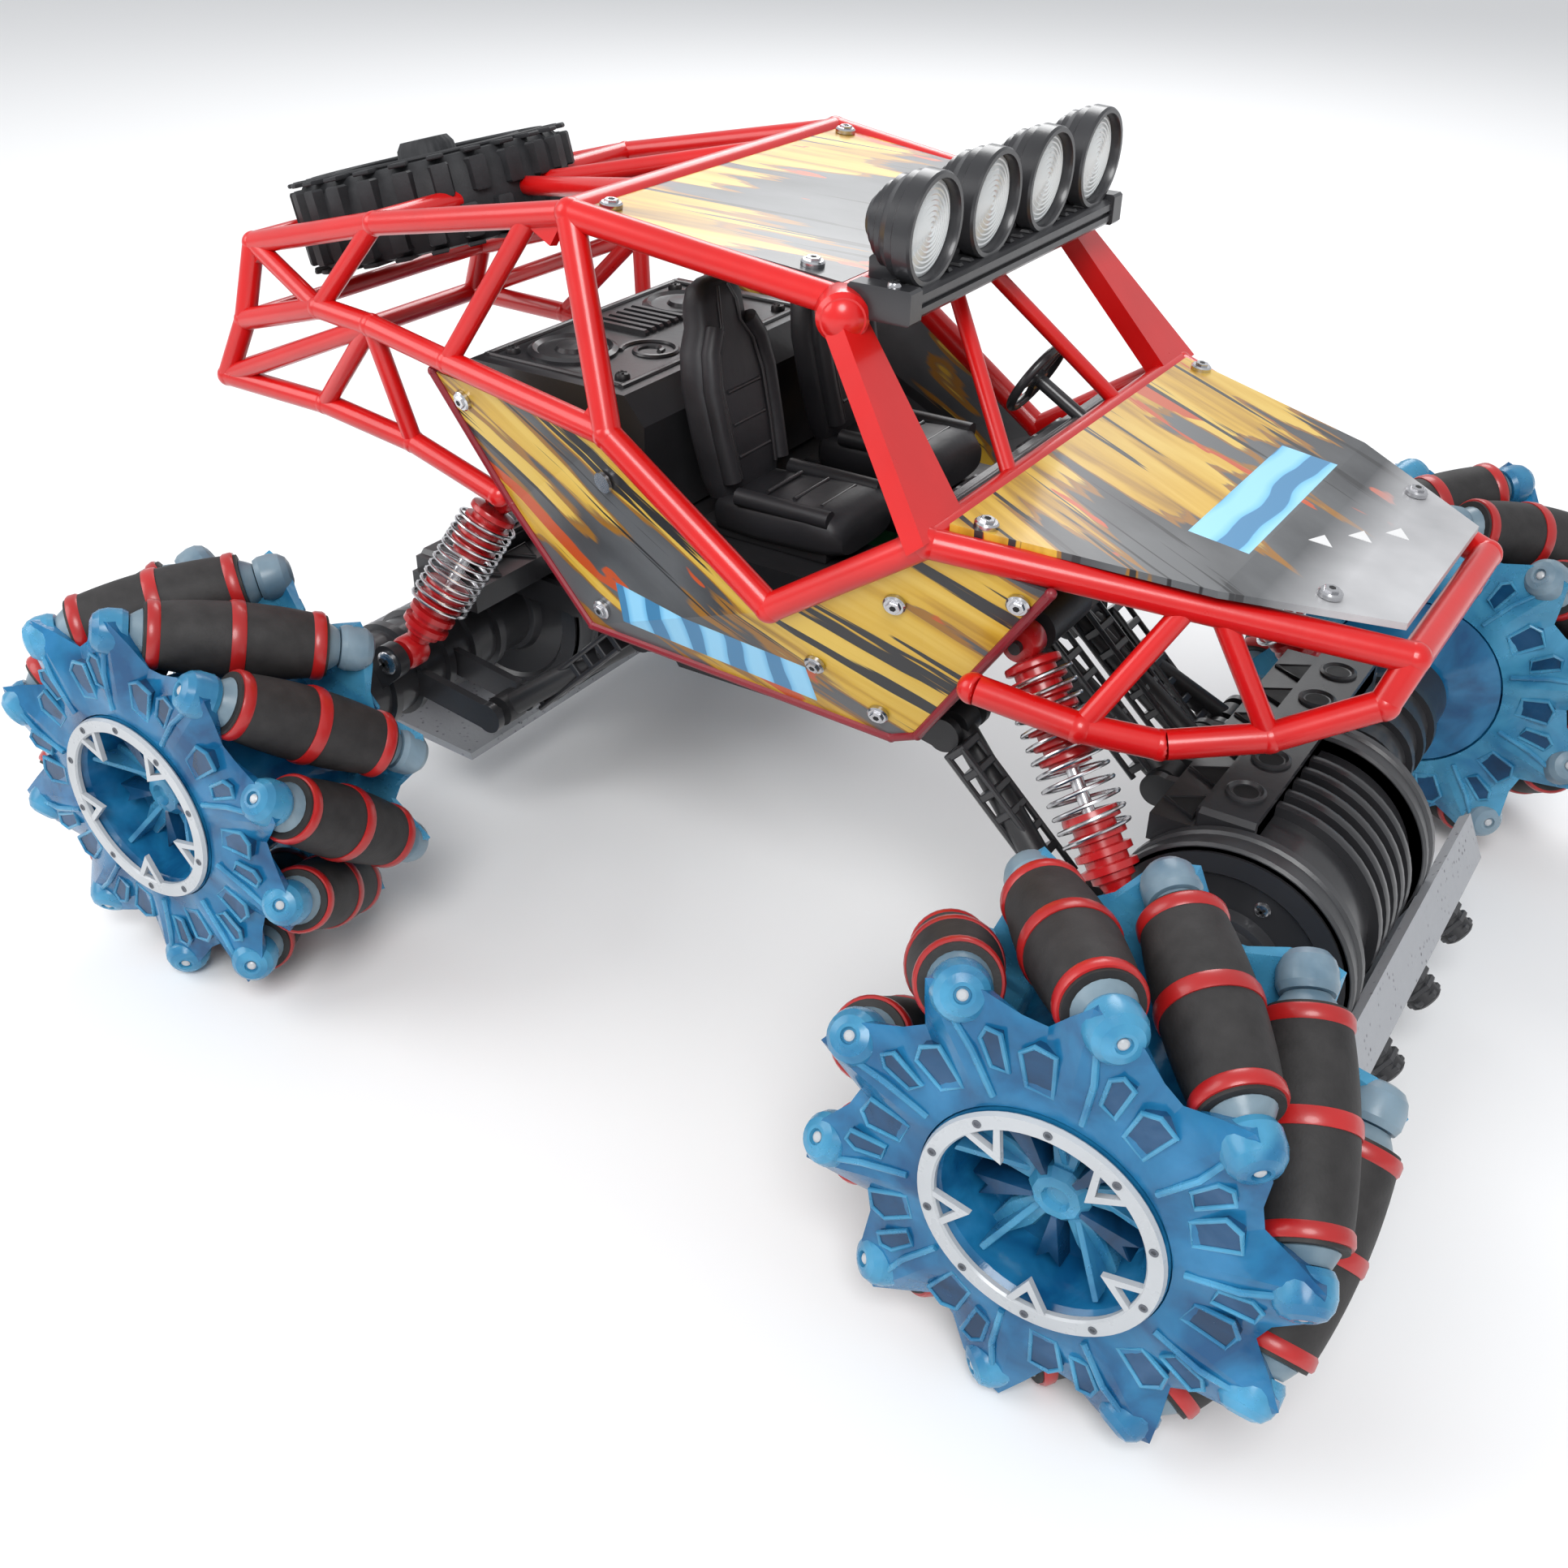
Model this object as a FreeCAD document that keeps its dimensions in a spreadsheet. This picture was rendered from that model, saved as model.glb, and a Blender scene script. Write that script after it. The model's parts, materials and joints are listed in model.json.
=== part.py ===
import FreeCAD, Part
import math
import os

from FreeCAD import Placement, Rotation, Vector

# Remote control stunt car: caged body on two rigid four-link axles with roller wheels.
# Frame: millimetres, +X to the front, +Y to the car's left, +Z up, origin on the ground
# under the middle of the overall box. Side parts are drawn with y > 0 as "outboard" and
# are then mirrored to the right (y < 0) side.

doc = FreeCAD.newDocument("stunt_car")
sheet = doc.addObject("Spreadsheet::Sheet", "dims")

DIMENSIONS = {
    # wheels and rollers
    "wheel_radius": 54, "wheel_mid_y": 124.5, "axle_height": 53.9,
    "front_axle_x": 130, "rear_axle_x": -120,
    "roller_count": 10, "roller_skew": 40, "roller_mid_radius": 10, "roller_half": 21.5,
    "cone_length": 3.2, "cone_radius": 4.4, "pin_radius": 1.6, "pin_reach": 33, "pin_gap": 0.05,
    "front_phase": 31.7, "rear_phase": 32.8,
    "star_inner_z": 22.8, "star_outer_z": 26, "star_tip": 50.5, "star_root": 36,
    "boss_radius": 4.0, "boss_start": 25.6, "drum_radius": 26, "dish_radius": 21, "dish_depth": 13,
    "hub_boss_radius": 6, "shaft_radius": 2.5, "shaft_reach": 52, "shaft_gap": 0.05,
    "ring_outer": 25.4, "ring_inner": 21.2, "ring_thickness": 1.5, "tab_count": 5, "tab_length": 6,
    # axle housings
    "barrel_radius": 26, "front_barrel_near": -55, "rear_barrel_near": -46, "barrel_far": 10,
    "barrel_ring_radius": 29, "barrel_ring_width": 9, "tube_radius": 12.5, "case_half_width": 90,
    "motor_radius": 10, "motor_length": 30, "motor_gap": 0.15, "skid_near": -80, "skid_far": 44,
    # four-link suspension
    "link_run": 41, "link_drop": 30, "lower_pivot_inset": 79, "lower_pivot_height": 80,
    "lower_chassis_y": 36, "lower_axle_y": 54, "upper_pivot_inset": 74,
    "upper_pivot_height": 96, "upper_link_y": 10, "link_radius": 3.4, "eye_radius": 4.4,
    "eye_width": 7, "lower_ear_spread": 7.5, "upper_ear_spread": 5.8, "ear_wall": 2.4,
    "pivot_pin": 1.5, "pivot_gap": 0.05, "open_pivot_gap": 1.6,
    # shock absorbers
    "cup_radius": 6.6, "upper_cup": 24, "lower_cup": 19, "rod_radius": 1.6, "rod_gap": 2.1,
    "spring_radius": 7.9, "spring_wire": 0.7,
    # cage and panels
    "tube_r": 3.4, "truss_r": 2.5, "brace_r": 1.9, "brace_spread": 29, "panel_thickness": 1.6,
    # body
    "tub_width": 92, "deck_width": 92, "seat_width": 30, "seat_y": 25, "lamp_radius": 12,
    "lamp_depth": 15, "spare_radius": 40, "spare_width": 24,
    "battery_length": 56, "battery_width": 30, "battery_depth": 16,
}
for row, (alias, value) in enumerate(DIMENSIONS.items(), start=1):
    sheet.set("A%d" % row, alias)
    sheet.set("B%d" % row, str(value))
    sheet.setAlias("B%d" % row, alias)
doc.recompute()

nodes = {}


def dim(alias):
    """Value of one driving dimension, read from the sheet."""
    return float(sheet.get(alias))


def keep(label, obj):
    """Register a document object as the sub-part named label."""
    obj.Label = label
    nodes[label] = obj
    return obj


def feature(label, shape):
    """A computed shape as a document object."""
    obj = doc.addObject("Part::Feature", label)
    obj.Shape = shape.copy()
    return keep(label, obj)


def bind(obj, **expressions):
    """Bind properties to formulas on the sheet."""
    for prop, formula in expressions.items():
        obj.setExpression(prop, formula)
    return obj


def primitive(kind, name, placement=None, **expressions):
    """A Part primitive whose sizes are formulas on the sheet."""
    obj = bind(doc.addObject("Part::" + kind, name), **expressions)
    if placement is not None:
        obj.Placement = placement
    return obj


def fused(name, parts):
    obj = doc.addObject("Part::MultiFuse", name)
    obj.Shapes = parts
    return obj


def cut(name, base, tool):
    obj = doc.addObject("Part::Cut", name)
    obj.Base = base
    obj.Tool = tool
    return obj


def origin_plane(body, role):
    return next(f for f in body.Origin.OriginFeatures if f.Role == role)


def sketch_on(body, role, outline, name):
    """Closed polygon sketch on one of the body's own origin planes."""
    sketch = body.newObject("Sketcher::SketchObject", name)
    sketch.AttachmentSupport = [(origin_plane(body, role), "")]
    sketch.MapMode = "FlatFace"
    points = [Vector(u, v, 0) for u, v in outline]
    edges = zip(points, points[1:] + points[:1])
    sketch.addGeometry([Part.LineSegment(a, b) for a, b in edges], False)
    return sketch


def padded(label, outline, length, role="XZ_Plane", place=None):
    """PartDesign body: polygon padded symmetrically about its plane."""
    body = doc.addObject("PartDesign::Body", label)
    sketch = sketch_on(body, role, outline, label + "_outline")
    pad = body.newObject("PartDesign::Pad", label + "_pad")
    pad.Profile = sketch
    pad.Midplane = True
    bind(pad, Length=length)
    if place is not None:
        body.Placement = Placement(place, Rotation())
    body.Tip = pad
    return body


def revolved(label, outline):
    """PartDesign body: polygon in the XZ plane revolved about Z."""
    body = doc.addObject("PartDesign::Body", label)
    sketch = sketch_on(body, "XZ_Plane", outline, label + "_outline")
    turn = body.newObject("PartDesign::Revolution", label + "_turn")
    turn.Profile = sketch
    turn.ReferenceAxis = (sketch, ["V_Axis"])
    turn.Angle = 360
    body.Tip = turn
    return body


def tube(start, end, radius):
    run = end - start
    return Part.makeCylinder(radius, run.Length, start, run)


def ball(centre, radius):
    return Part.makeSphere(radius, centre)


def bar(points, radius, knuckle=1.06):
    """Round bar through a list of points, with a slightly larger ball at each."""
    pieces = [tube(a, b, radius) for a, b in zip(points, points[1:])]
    return pieces + [ball(p, radius * knuckle) for p in points]


def union(shapes):
    return shapes[0].multiFuse(shapes[1:]).removeSplitter()


def mirrored(shape):
    """The same shape on the other side of the car."""
    return shape.mirror(Vector(0, 0, 0), Vector(0, 1, 0))


def toward(direction):
    """Rotation that takes +Z onto a direction."""
    return Rotation(Vector(0, 0, 1), direction)


def polyhedron(corners, triangles, shift):
    """Thin plate: triangles between corners, thickened by the vector shift."""
    count = len(corners)
    points = corners + [c + shift for c in corners]
    faces = []
    edges = set()
    for a, b, c in triangles:
        faces.append((a, b, c))
        faces.append((a + count, c + count, b + count))
        edges.update([(a, b), (b, c), (c, a)])
    for a, b in edges:
        if (b, a) not in edges:
            faces.append((a, b, b + count))
            faces.append((a, b + count, a + count))
    shells = [Part.Face(Part.makePolygon([points[i] for i in f + (f[0],)])) for f in faces]
    solid = Part.makeSolid(Part.makeShell(shells))
    return solid if solid.Volume > 0 else solid.reversed()


# ---------------------------------------------------------------- wheels and rollers

AXLES = {"front": (dim("front_axle_x"), 1), "rear": (dim("rear_axle_x"), -1)}
SIDES = {"right": -1, "left": 1}


def roller_body():
    """Barrel roller on its own Z axis: its bulge follows the wheel's round outline."""
    skew = math.radians(dim("roller_skew"))
    half = dim("roller_half")
    spine = dim("wheel_radius") - dim("roller_mid_radius")
    stations = [half * k / 6 for k in range(-6, 7)]

    def radius(z):
        return dim("wheel_radius") - math.hypot(spine, z * math.sin(skew))

    cone_end = half + dim("cone_length")
    outline = [(0, -dim("pin_reach")), (dim("pin_radius"), -dim("pin_reach"))]
    outline += [(dim("pin_radius"), -cone_end), (dim("cone_radius"), -cone_end)]
    outline += [(radius(z), z) for z in stations]
    outline += [(dim("cone_radius"), cone_end), (dim("pin_radius"), cone_end)]
    outline += [(dim("pin_radius"), dim("pin_reach")), (0, dim("pin_reach"))]
    return revolved("roller_master", outline)


roller_master = roller_body()
doc.recompute()


def roller_axes(end, side):
    """Mid point and outward direction of each roller axis of one wheel."""
    centre_x, _ = AXLES[end]
    outward = Vector(0, SIDES[side], 0)
    lean = -1 if end == "front" else 1
    skew = math.radians(dim("roller_skew"))
    spine = dim("wheel_radius") - dim("roller_mid_radius")
    centre = Vector(centre_x, SIDES[side] * dim("wheel_mid_y"), dim("axle_height"))
    for k in range(int(dim("roller_count"))):
        turn = math.radians(dim(end + "_phase") + 360 / dim("roller_count") * k)
        radial = Vector(math.cos(turn), 0, math.sin(turn))
        around = Vector(-math.sin(turn), 0, math.cos(turn))
        along = around * (lean * math.sin(skew)) + outward * math.cos(skew)
        yield turn, centre + radial * spine, along


def star_plate(tip_angles, low, high):
    """Ten-pointed plate between two heights, in the wheel's own frame."""
    corners = []
    for angle in tip_angles:
        for step, reach in ((-7, dim("star_tip") - 2), (0, dim("star_tip")), (7, dim("star_tip") - 2),
                            (18, dim("star_root"))):
            a = angle + math.radians(step)
            corners.append(Vector(reach * math.cos(a), reach * math.sin(a), low))
    face = Part.Face(Part.makePolygon(corners + corners[:1]))
    return face.extrude(Vector(0, 0, high - low))


def hub_shape(end, side):
    """Wheel hub: drum, two star plates, roller bosses and the moulded drive shaft."""
    centre_x, _ = AXLES[end]
    centre = Vector(centre_x, SIDES[side] * dim("wheel_mid_y"), dim("axle_height"))
    outward = Vector(0, SIDES[side], 0)
    # wheel frame: x forward, z outward
    frame = Placement(centre, Rotation(Vector(1, 0, 0), Vector(), outward, "ZXY"))
    inverse = frame.inverse()
    axes = [(inverse.multVec(p), inverse.Rotation.multVec(d)) for _, p, d in roller_axes(end, side)]
    low, high = dim("star_inner_z"), dim("star_outer_z")
    pieces = [Part.makeCylinder(dim("drum_radius"), 2 * high, Vector(0, 0, -high))]
    bores = []
    for sign in (-1, 1):
        reach = high / math.cos(math.radians(dim("roller_skew")))
        tips = []
        for point, along in axes:
            tip = point + along * (sign * reach)
            tips.append(math.atan2(tip.y, tip.x))
            start = point + along * (sign * dim("boss_start"))
            pieces.append(Part.makeCylinder(dim("boss_radius"), 2 * reach, start, along * sign))
            bores.append(Part.makeCylinder(dim("pin_radius") + dim("pin_gap"), 3 * reach, point,
                                           along * sign))
        band = (low, high) if sign > 0 else (-high, -low)
        pieces.append(star_plate(sorted(tips), *band))
    slab = Part.makeCylinder(2 * dim("wheel_radius"), 2 * high, Vector(0, 0, -high))
    hub = union(pieces).common(slab)
    dish = Part.makeCylinder(dim("dish_radius"), dim("dish_depth"),
                             Vector(0, 0, high - dim("dish_depth")))
    hub = hub.cut(Part.makeCompound(bores + [dish]))
    boss = Part.makeCylinder(dim("hub_boss_radius"), dim("dish_depth"),
                             Vector(0, 0, high - dim("dish_depth") - 1))
    shaft = Part.makeCylinder(dim("shaft_radius"), dim("shaft_reach"),
                              Vector(0, 0, -high - dim("shaft_reach") + 2))
    spokes = []
    for k in range(int(dim("tab_count"))):
        spoke = Part.makeBox(dim("dish_radius") - 1, 5, 5, Vector(2, -2.5, high - dim("dish_depth") - 1))
        spoke.rotate(Vector(0, 0, 0), Vector(0, 0, 1), 90 + 360 / dim("tab_count") * k)
        spokes.append(spoke)
    hub = union([hub, boss, shaft] + spokes)
    hub.Placement = frame
    return hub, frame


def ring_shape(frame):
    """Flat trim ring with pointed tabs, on the outer face of the hub."""
    high = dim("star_outer_z")
    base = Vector(0, 0, high)
    ring = Part.makeCylinder(dim("ring_outer"), dim("ring_thickness"), base)
    ring = ring.cut(Part.makeCylinder(dim("ring_inner"), dim("ring_thickness"), base))
    tabs = []
    for k in range(int(dim("tab_count"))):
        inner = dim("ring_inner") - dim("tab_length")
        outer = dim("ring_inner") + 1
        corners = [Vector(inner, 0, high), Vector(outer, -4, high), Vector(outer, 4, high)]
        tab = Part.Face(Part.makePolygon(corners + corners[:1])).extrude(
            Vector(0, 0, dim("ring_thickness")))
        tab.rotate(Vector(0, 0, 0), Vector(0, 0, 1), 54 + 360 / dim("tab_count") * k)
        tabs.append(tab)
    ring = union([ring] + tabs)
    ring.Placement = frame
    return ring


# The front right wheel carries each roller as a node of its own; the other wheels carry
# their ten rollers as one group of separate solids.
for end in AXLES:
    for side in SIDES:
        wheel = "%s_%s" % (end, side)
        hub, frame = hub_shape(end, side)
        feature(wheel + "_wheel_hub", hub)
        feature(wheel + "_trim_ring", ring_shape(frame))
        placed = []
        for _, point, along in roller_axes(end, side):
            roller = roller_master.Shape.copy()
            roller.Placement = Placement(point, toward(along))
            placed.append(roller)
        if wheel == "front_right":
            for number, roller in enumerate(placed, start=1):
                feature("%s_roller_%02d" % (wheel, number), roller)
        else:
            feature(wheel + "_rollers", Part.makeCompound(placed))

# ---------------------------------------------------------------- axle housings


def along_y(x, start, end, z, radius):
    return tube(Vector(x, start, z), Vector(x, end, z), radius)


def pivots(end):
    """Chassis and axle ends of the lower and upper links, on the car's centre plane."""
    axle_x, out = AXLES[end]
    lower = Vector(axle_x - out * dim("lower_pivot_inset"), 0, dim("lower_pivot_height"))
    upper = Vector(axle_x - out * dim("upper_pivot_inset"), 0, dim("upper_pivot_height"))
    run = Vector(out * dim("link_run"), 0, -dim("link_drop"))
    return lower, lower + run, upper, upper + run


def shock_ends(end):
    """Upper and lower pivot of the left shock of one axle."""
    if end == "front":
        return Vector(72, 50, 114.5), Vector(109.6, 67, 67)
    return Vector(-86, 44, 109.7), Vector(-104.5, 67, 67)


def clevis(pivot, middle_y, spread, root):
    """Two ears and a pin at a pivot along Y, joined to a root point."""
    radius, wall = dim("eye_radius"), dim("ear_wall")
    ears = []
    for y in (middle_y - spread, middle_y + spread):
        ear = along_y(pivot.x, y - wall / 2, y + wall / 2, pivot.z, radius)
        foot = Vector(root.x, y, root.z)
        ears += [ear, plate_strut(Vector(pivot.x, y, pivot.z), foot, radius * 0.9, wall)]
    return ears + [along_y(pivot.x, middle_y - spread, middle_y + spread, pivot.z,
                           dim("pivot_pin"))]


def plate_strut(start, end, half_height, thickness):
    """Flat strut of constant height in the XZ plane, centred on y."""
    run = (end - start).normalize()
    normal = Vector(-run.z, 0, run.x) * half_height
    shift = Vector(0, -thickness / 2, 0)
    corners = [start + normal + shift, end + normal + shift, end - normal + shift,
               start - normal + shift]
    return Part.Face(Part.makePolygon(corners + corners[:1])).extrude(Vector(0, thickness, 0))


def axle_case(end):
    axle_x, out = AXLES[end]
    z = dim("axle_height")

    def span(start, finish, radius, inner=None):
        a, b = sorted((-start * out * -1, -finish * out * -1))
        solid = along_y(axle_x, a, b, z, radius)
        return solid if inner is None else solid.cut(along_y(axle_x, a, b, z, inner))

    near, far, half = dim(end + "_barrel_near"), dim("barrel_far"), dim("case_half_width")
    ring = dim("barrel_ring_width")
    pieces = [span(near, far, dim("barrel_radius")),
              span(near - 2, near - 2 + ring, dim("barrel_ring_radius")),
              span(far - ring, far, dim("barrel_ring_radius")),
              span(-half, half, dim("tube_radius"))]
    for k in range(5):
        start = near + 22 + 6 * k
        pieces.append(span(start, start + 3, dim("barrel_ring_radius") - 1.2))
    # deck plate toward the car and the long pad with round dimples on top of it
    reach = -out
    top = z + dim("barrel_radius") - 7
    plate = Part.makeBox(24, 96, 7)
    plate.Placement = Placement(Vector(axle_x + (0 if reach > 0 else -24), -48, top), Rotation())
    strap = Part.makeBox(14, 92, 6)
    strap.Placement = Placement(Vector(axle_x + (0 if reach > 0 else -14), -46, top + 5), Rotation())
    pieces += [plate, strap]
    # brackets of the four links and of the two shocks
    _, low, _, high = pivots(end)
    root = Vector(axle_x - out * 12, 0, z)
    for sign in (-1, 1):
        pieces += clevis(low, sign * dim("lower_axle_y"), dim("lower_ear_spread"), root)
        pieces += clevis(high, sign * dim("upper_link_y"), dim("upper_ear_spread"),
                         Vector(axle_x, 0, z + 14))
        foot = shock_ends(end)[1]
        pieces.append(along_y(foot.x, sign * (foot.y + 5.5), sign * (foot.y + 9), foot.z, 5))
        pieces.append(along_y(foot.x, sign * (foot.y - 6), sign * (foot.y + 9), foot.z, 1.5))
        pieces.append(plate_strut(Vector(foot.x, sign * (foot.y + 7.2), foot.z),
                                  Vector(axle_x, sign * (foot.y + 7.2), z), 5, 3.4))
    case = union(pieces)
    # hollows: a ribbed barrel around two motor sleeves, and the shaft bearings
    sleeve = dim("motor_radius") + dim("motor_gap")
    cavities = [span(near + 3, near + 28, 23, 13), span(near + 32, far - 4, 23, 13),
                span(near + 3, near + 3 + dim("motor_length"), sleeve),
                span(far + 20, far + 20 + dim("motor_length"), sleeve),
                span(-half, half, dim("shaft_radius") + dim("shaft_gap"))]
    return case.cut(Part.makeCompound(cavities))


def skid_plate(end):
    """Light plate bolted under and in front of the housing, with a row of knobs."""
    axle_x, out = AXLES[end]
    z = dim("axle_height")
    section = [(31.5, -4), (37, -16), (27, -33), (-12, -36), (-12, -33.6), (25, -30.8), (34, -16),
               (29, -6)]
    corners = [Vector(axle_x + out * x, 0, z + dz) for x, dz in section]
    face = Part.Face(Part.makePolygon(corners + corners[:1]))
    face.translate(Vector(0, min(out * dim("skid_near"), out * dim("skid_far")), 0))
    plate = face.extrude(Vector(0, dim("skid_far") - dim("skid_near"), 0))
    knobs = []
    for k in range(4):
        y = out * (dim("skid_near") + 14 + 32 * k)
        base = Vector(axle_x + out * 31, y, z - 26)
        knobs.append(Part.makeCylinder(4, 9, base, Vector(out * 0.8, 0, -0.6)))
    posts = [tube(Vector(axle_x, y, z - 20), Vector(axle_x, y, z - 35), 3)
             for y in (out * -50, out * -2)]
    return union([plate] + knobs + posts)


for end, (axle_x, out) in AXLES.items():
    case = axle_case(end)
    skid = skid_plate(end)
    feature(end + "_axle_case", case)
    feature(end + "_skid_plate", skid.cut(case))
    motors = []
    for index, start in enumerate((dim(end + "_barrel_near") + 3, dim("barrel_far") + 20)):
        shift = start if out > 0 else -start - dim("motor_length")
        place = Placement(Vector(axle_x, shift, dim("axle_height")), toward(Vector(0, 1, 0)))
        can = primitive("Cylinder", "%s_motor_can_%d" % (end, index), place,
                        Radius="dims.motor_radius", Height="dims.motor_length")
        hole = primitive("Cylinder", "%s_motor_bore_%d" % (end, index), place,
                         Radius="dims.shaft_radius + 0.4", Height="dims.motor_length")
        motors.append(cut("%s_motor_%d" % (end, index), can, hole))
    keep(end + "_motors", fused(end + "_motors", motors))

# ---------------------------------------------------------------- links and shocks


def link_shape(start, finish, axle_gap):
    """Straight bar with an eye along Y at each end; axle_gap is the far eye's clearance."""
    gap = dim("pivot_gap")
    inset = (finish - start).normalize()
    bar_shape = tube(start + inset * 1, finish - inset * 1, dim("link_radius"))
    eyes = [along_y(p.x, p.y - dim("eye_width") / 2, p.y + dim("eye_width") / 2, p.z,
                    dim("eye_radius")) for p in (start, finish)]
    holes = [along_y(start.x, start.y - 12, start.y + 12, start.z, dim("pivot_pin") + gap),
             along_y(finish.x, finish.y - 12, finish.y + 12, finish.z, dim("pivot_pin") + axle_gap)]
    return union([bar_shape] + eyes).cut(Part.makeCompound(holes))


for end in AXLES:
    low_in, low_out, high_in, high_out = pivots(end)
    lower = link_shape(low_in + Vector(0, dim("lower_chassis_y"), 0),
                       low_out + Vector(0, dim("lower_axle_y"), 0), dim("pivot_gap"))
    upper = link_shape(high_in + Vector(0, dim("upper_link_y"), 0),
                       high_out + Vector(0, dim("upper_link_y"), 0), dim("open_pivot_gap"))
    feature(end + "_lower_links", Part.makeCompound([lower, mirrored(lower)]))
    feature(end + "_upper_links", Part.makeCompound([upper, mirrored(upper)]))


def shock_shapes(end):
    """Upper cup, lower cup with rod, and spring of the left shock."""
    top, foot = shock_ends(end)
    run = foot - top
    length = run.Length
    place = Placement(top, toward(run))
    cup, low = dim("upper_cup"), dim("lower_cup")
    ridge = dim("cup_radius") - 0.9
    body = [Part.makeCylinder(ridge, cup - 4, Vector(0, 0, 4)), Part.makeSphere(4.4)]
    foot_cup = [Part.makeCylinder(ridge, low - 5, Vector(0, 0, length - low)),
                Part.makeSphere(4.4, Vector(0, 0, length)),
                Part.makeCylinder(3.4, 6, Vector(0, 0, length - 6))]
    body.append(Part.makeCylinder(dim("cup_radius"), 3, Vector(0, 0, 6)))
    foot_cup.append(Part.makeCylinder(dim("cup_radius"), 3, Vector(0, 0, length - 8)))
    bore = Part.makeCylinder(dim("rod_radius") + dim("rod_gap"), cup, Vector(0, 0, 8))
    rod = Part.makeCylinder(dim("rod_radius"), length - low - 14, Vector(0, 0, 16))
    upper = union(body).cut(bore)
    lower = union(foot_cup + [rod])
    # one thin sleeve around both cups stands for the coil
    outer, inner = (Part.makeCylinder(dim("spring_radius") + step * dim("spring_wire"),
                                      length - 20, Vector(0, 0, 6)) for step in (1, -1))
    coil = outer.cut(inner)
    for shape in (upper, lower, coil):
        shape.Placement = place
    pin = dim("pivot_pin")
    upper = upper.cut(along_y(top.x, top.y - 20, top.y + 20, top.z, pin + dim("pivot_gap")))
    lower = lower.cut(along_y(foot.x, foot.y - 20, foot.y + 20, foot.z, 1.5 + dim("open_pivot_gap")))
    return upper, lower, coil


for end in AXLES:
    for name, shape in zip(("bodies", "rods", "springs"), shock_shapes(end)):
        feature("%s_shock_%s" % (end, name), Part.makeCompound([shape, mirrored(shape)]))

# ---------------------------------------------------------------- cage

CAGE = {
    "rear_top": (-170, 45, 164.5), "rear_mid": (-173, 49.5, 143.8), "rear_low": (-181, 52, 127),
    "top_kink": (-115, 52, 179), "window_front": (-59, 56.8, 189.6), "roof_rear": (-46, 58, 192.5),
    "mid_rear": (-136, 55, 154.8), "mid_node": (-114.8, 57.5, 154.4), "mid_front": (-85.4, 61, 151.3),
    "pillar_foot": (-27.4, 71, 147.7), "door_low": (17.7, 71, 116), "hood_rear": (57, 71, 142.2),
    "roof_front": (22.6, 54, 183.3), "low_rear": (-142, 52, 126.5), "low_mid": (-109.6, 52, 122.3),
    "low_front": (-78.5, 54, 115), "bumper": (151, 31, 125.5), "loop_rear": (69, 68, 109.6),
    "loop_low": (93.3, 65, 106.2), "loop_mid": (108.6, 56, 102.6), "loop_rise": (128.2, 44, 105.1),
    "loop_front": (148, 35, 115.3), "rail_brace_rear": (108, 49.3, 133.1),
    "rail_brace_front": (114, 46.8, 132.1),
}


def at(name, side=1):
    x, y, z = CAGE[name]
    return Vector(x, side * y, z)


def path(*names):
    return [at(name) for name in names]


def pillar(top, base, top_width, base_width, thickness):
    """Flat tapering pillar, wider across the car at its base."""
    normal = (base - top).normalize().cross(Vector(0, 1, 0)).normalize() * (thickness / 2)
    wires = []
    for point, width in ((top, top_width), (base, base_width)):
        across = Vector(0, width / 2, 0)
        corners = [point + across + normal, point - across + normal, point - across - normal,
                   point + across - normal]
        wires.append(Part.makePolygon(corners + corners[:1]))
    return Part.makeLoft(wires, True, True)


def cage_side():
    r = dim("tube_r")
    pieces = bar(path("roof_rear", "pillar_foot", "door_low", "hood_rear", "bumper"), r)
    pieces += bar(path("roof_rear", "roof_front"), r)
    head = at("roof_front") + Vector(-0.4, 0, 0.3)
    pieces.append(pillar(head, at("hood_rear") - Vector(0, 4, 0), 8.4, 18.6, 5.2))
    pieces.append(ball(at("roof_front") + Vector(3, 2, -2), 5.6))
    return union(pieces)


def rear_truss():
    r, thin = dim("tube_r") - 0.4, dim("truss_r")
    pieces = bar(path("rear_low", "rear_mid", "rear_top", "top_kink", "roof_rear"), r)
    pieces += bar(path("rear_mid", "mid_rear", "mid_node", "mid_front", "pillar_foot"), r)
    pieces += bar(path("rear_low", "low_rear", "low_mid", "low_front"), r)
    for ends in (("rear_top", "mid_rear"), ("mid_rear", "top_kink"), ("mid_front", "window_front"),
                 ("rear_low", "mid_node"), ("low_rear", "mid_node"), ("low_mid", "mid_node")):
        pieces += bar(path(*ends), thin)
    return pieces


def cross(name, radius):
    return bar([at(name, -1), at(name)], radius)


right_left = {"left": cage_side()}
right_left["right"] = mirrored(right_left["left"])
sides_compound = Part.makeCompound(list(right_left.values()))
for side, shape in right_left.items():
    feature("cage_side_" + side, shape)

kink_middle = Vector(at("top_kink").x, 0, at("top_kink").z)
braces = [tube(kink_middle, Vector(at("roof_rear").x, y, at("roof_rear").z), dim("truss_r"))
          for y in (-dim("brace_spread"), dim("brace_spread"))]
truss = rear_truss()
rack = union(truss + [mirrored(p) for p in truss] + cross("rear_top", dim("tube_r") - 0.4)
             + cross("rear_low", dim("tube_r") - 0.4) + cross("top_kink", dim("tube_r") - 0.4)
             + cross("rear_mid", dim("truss_r")) + braces + [ball(kink_middle, 3.6)])
feature("rear_rack", rack.cut(sides_compound))


def screen_foot(y):
    return Vector(at("hood_rear").x, y, at("hood_rear").z)


def screen_head(y):
    return Vector(at("roof_front").x, y, at("roof_front").z)


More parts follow.
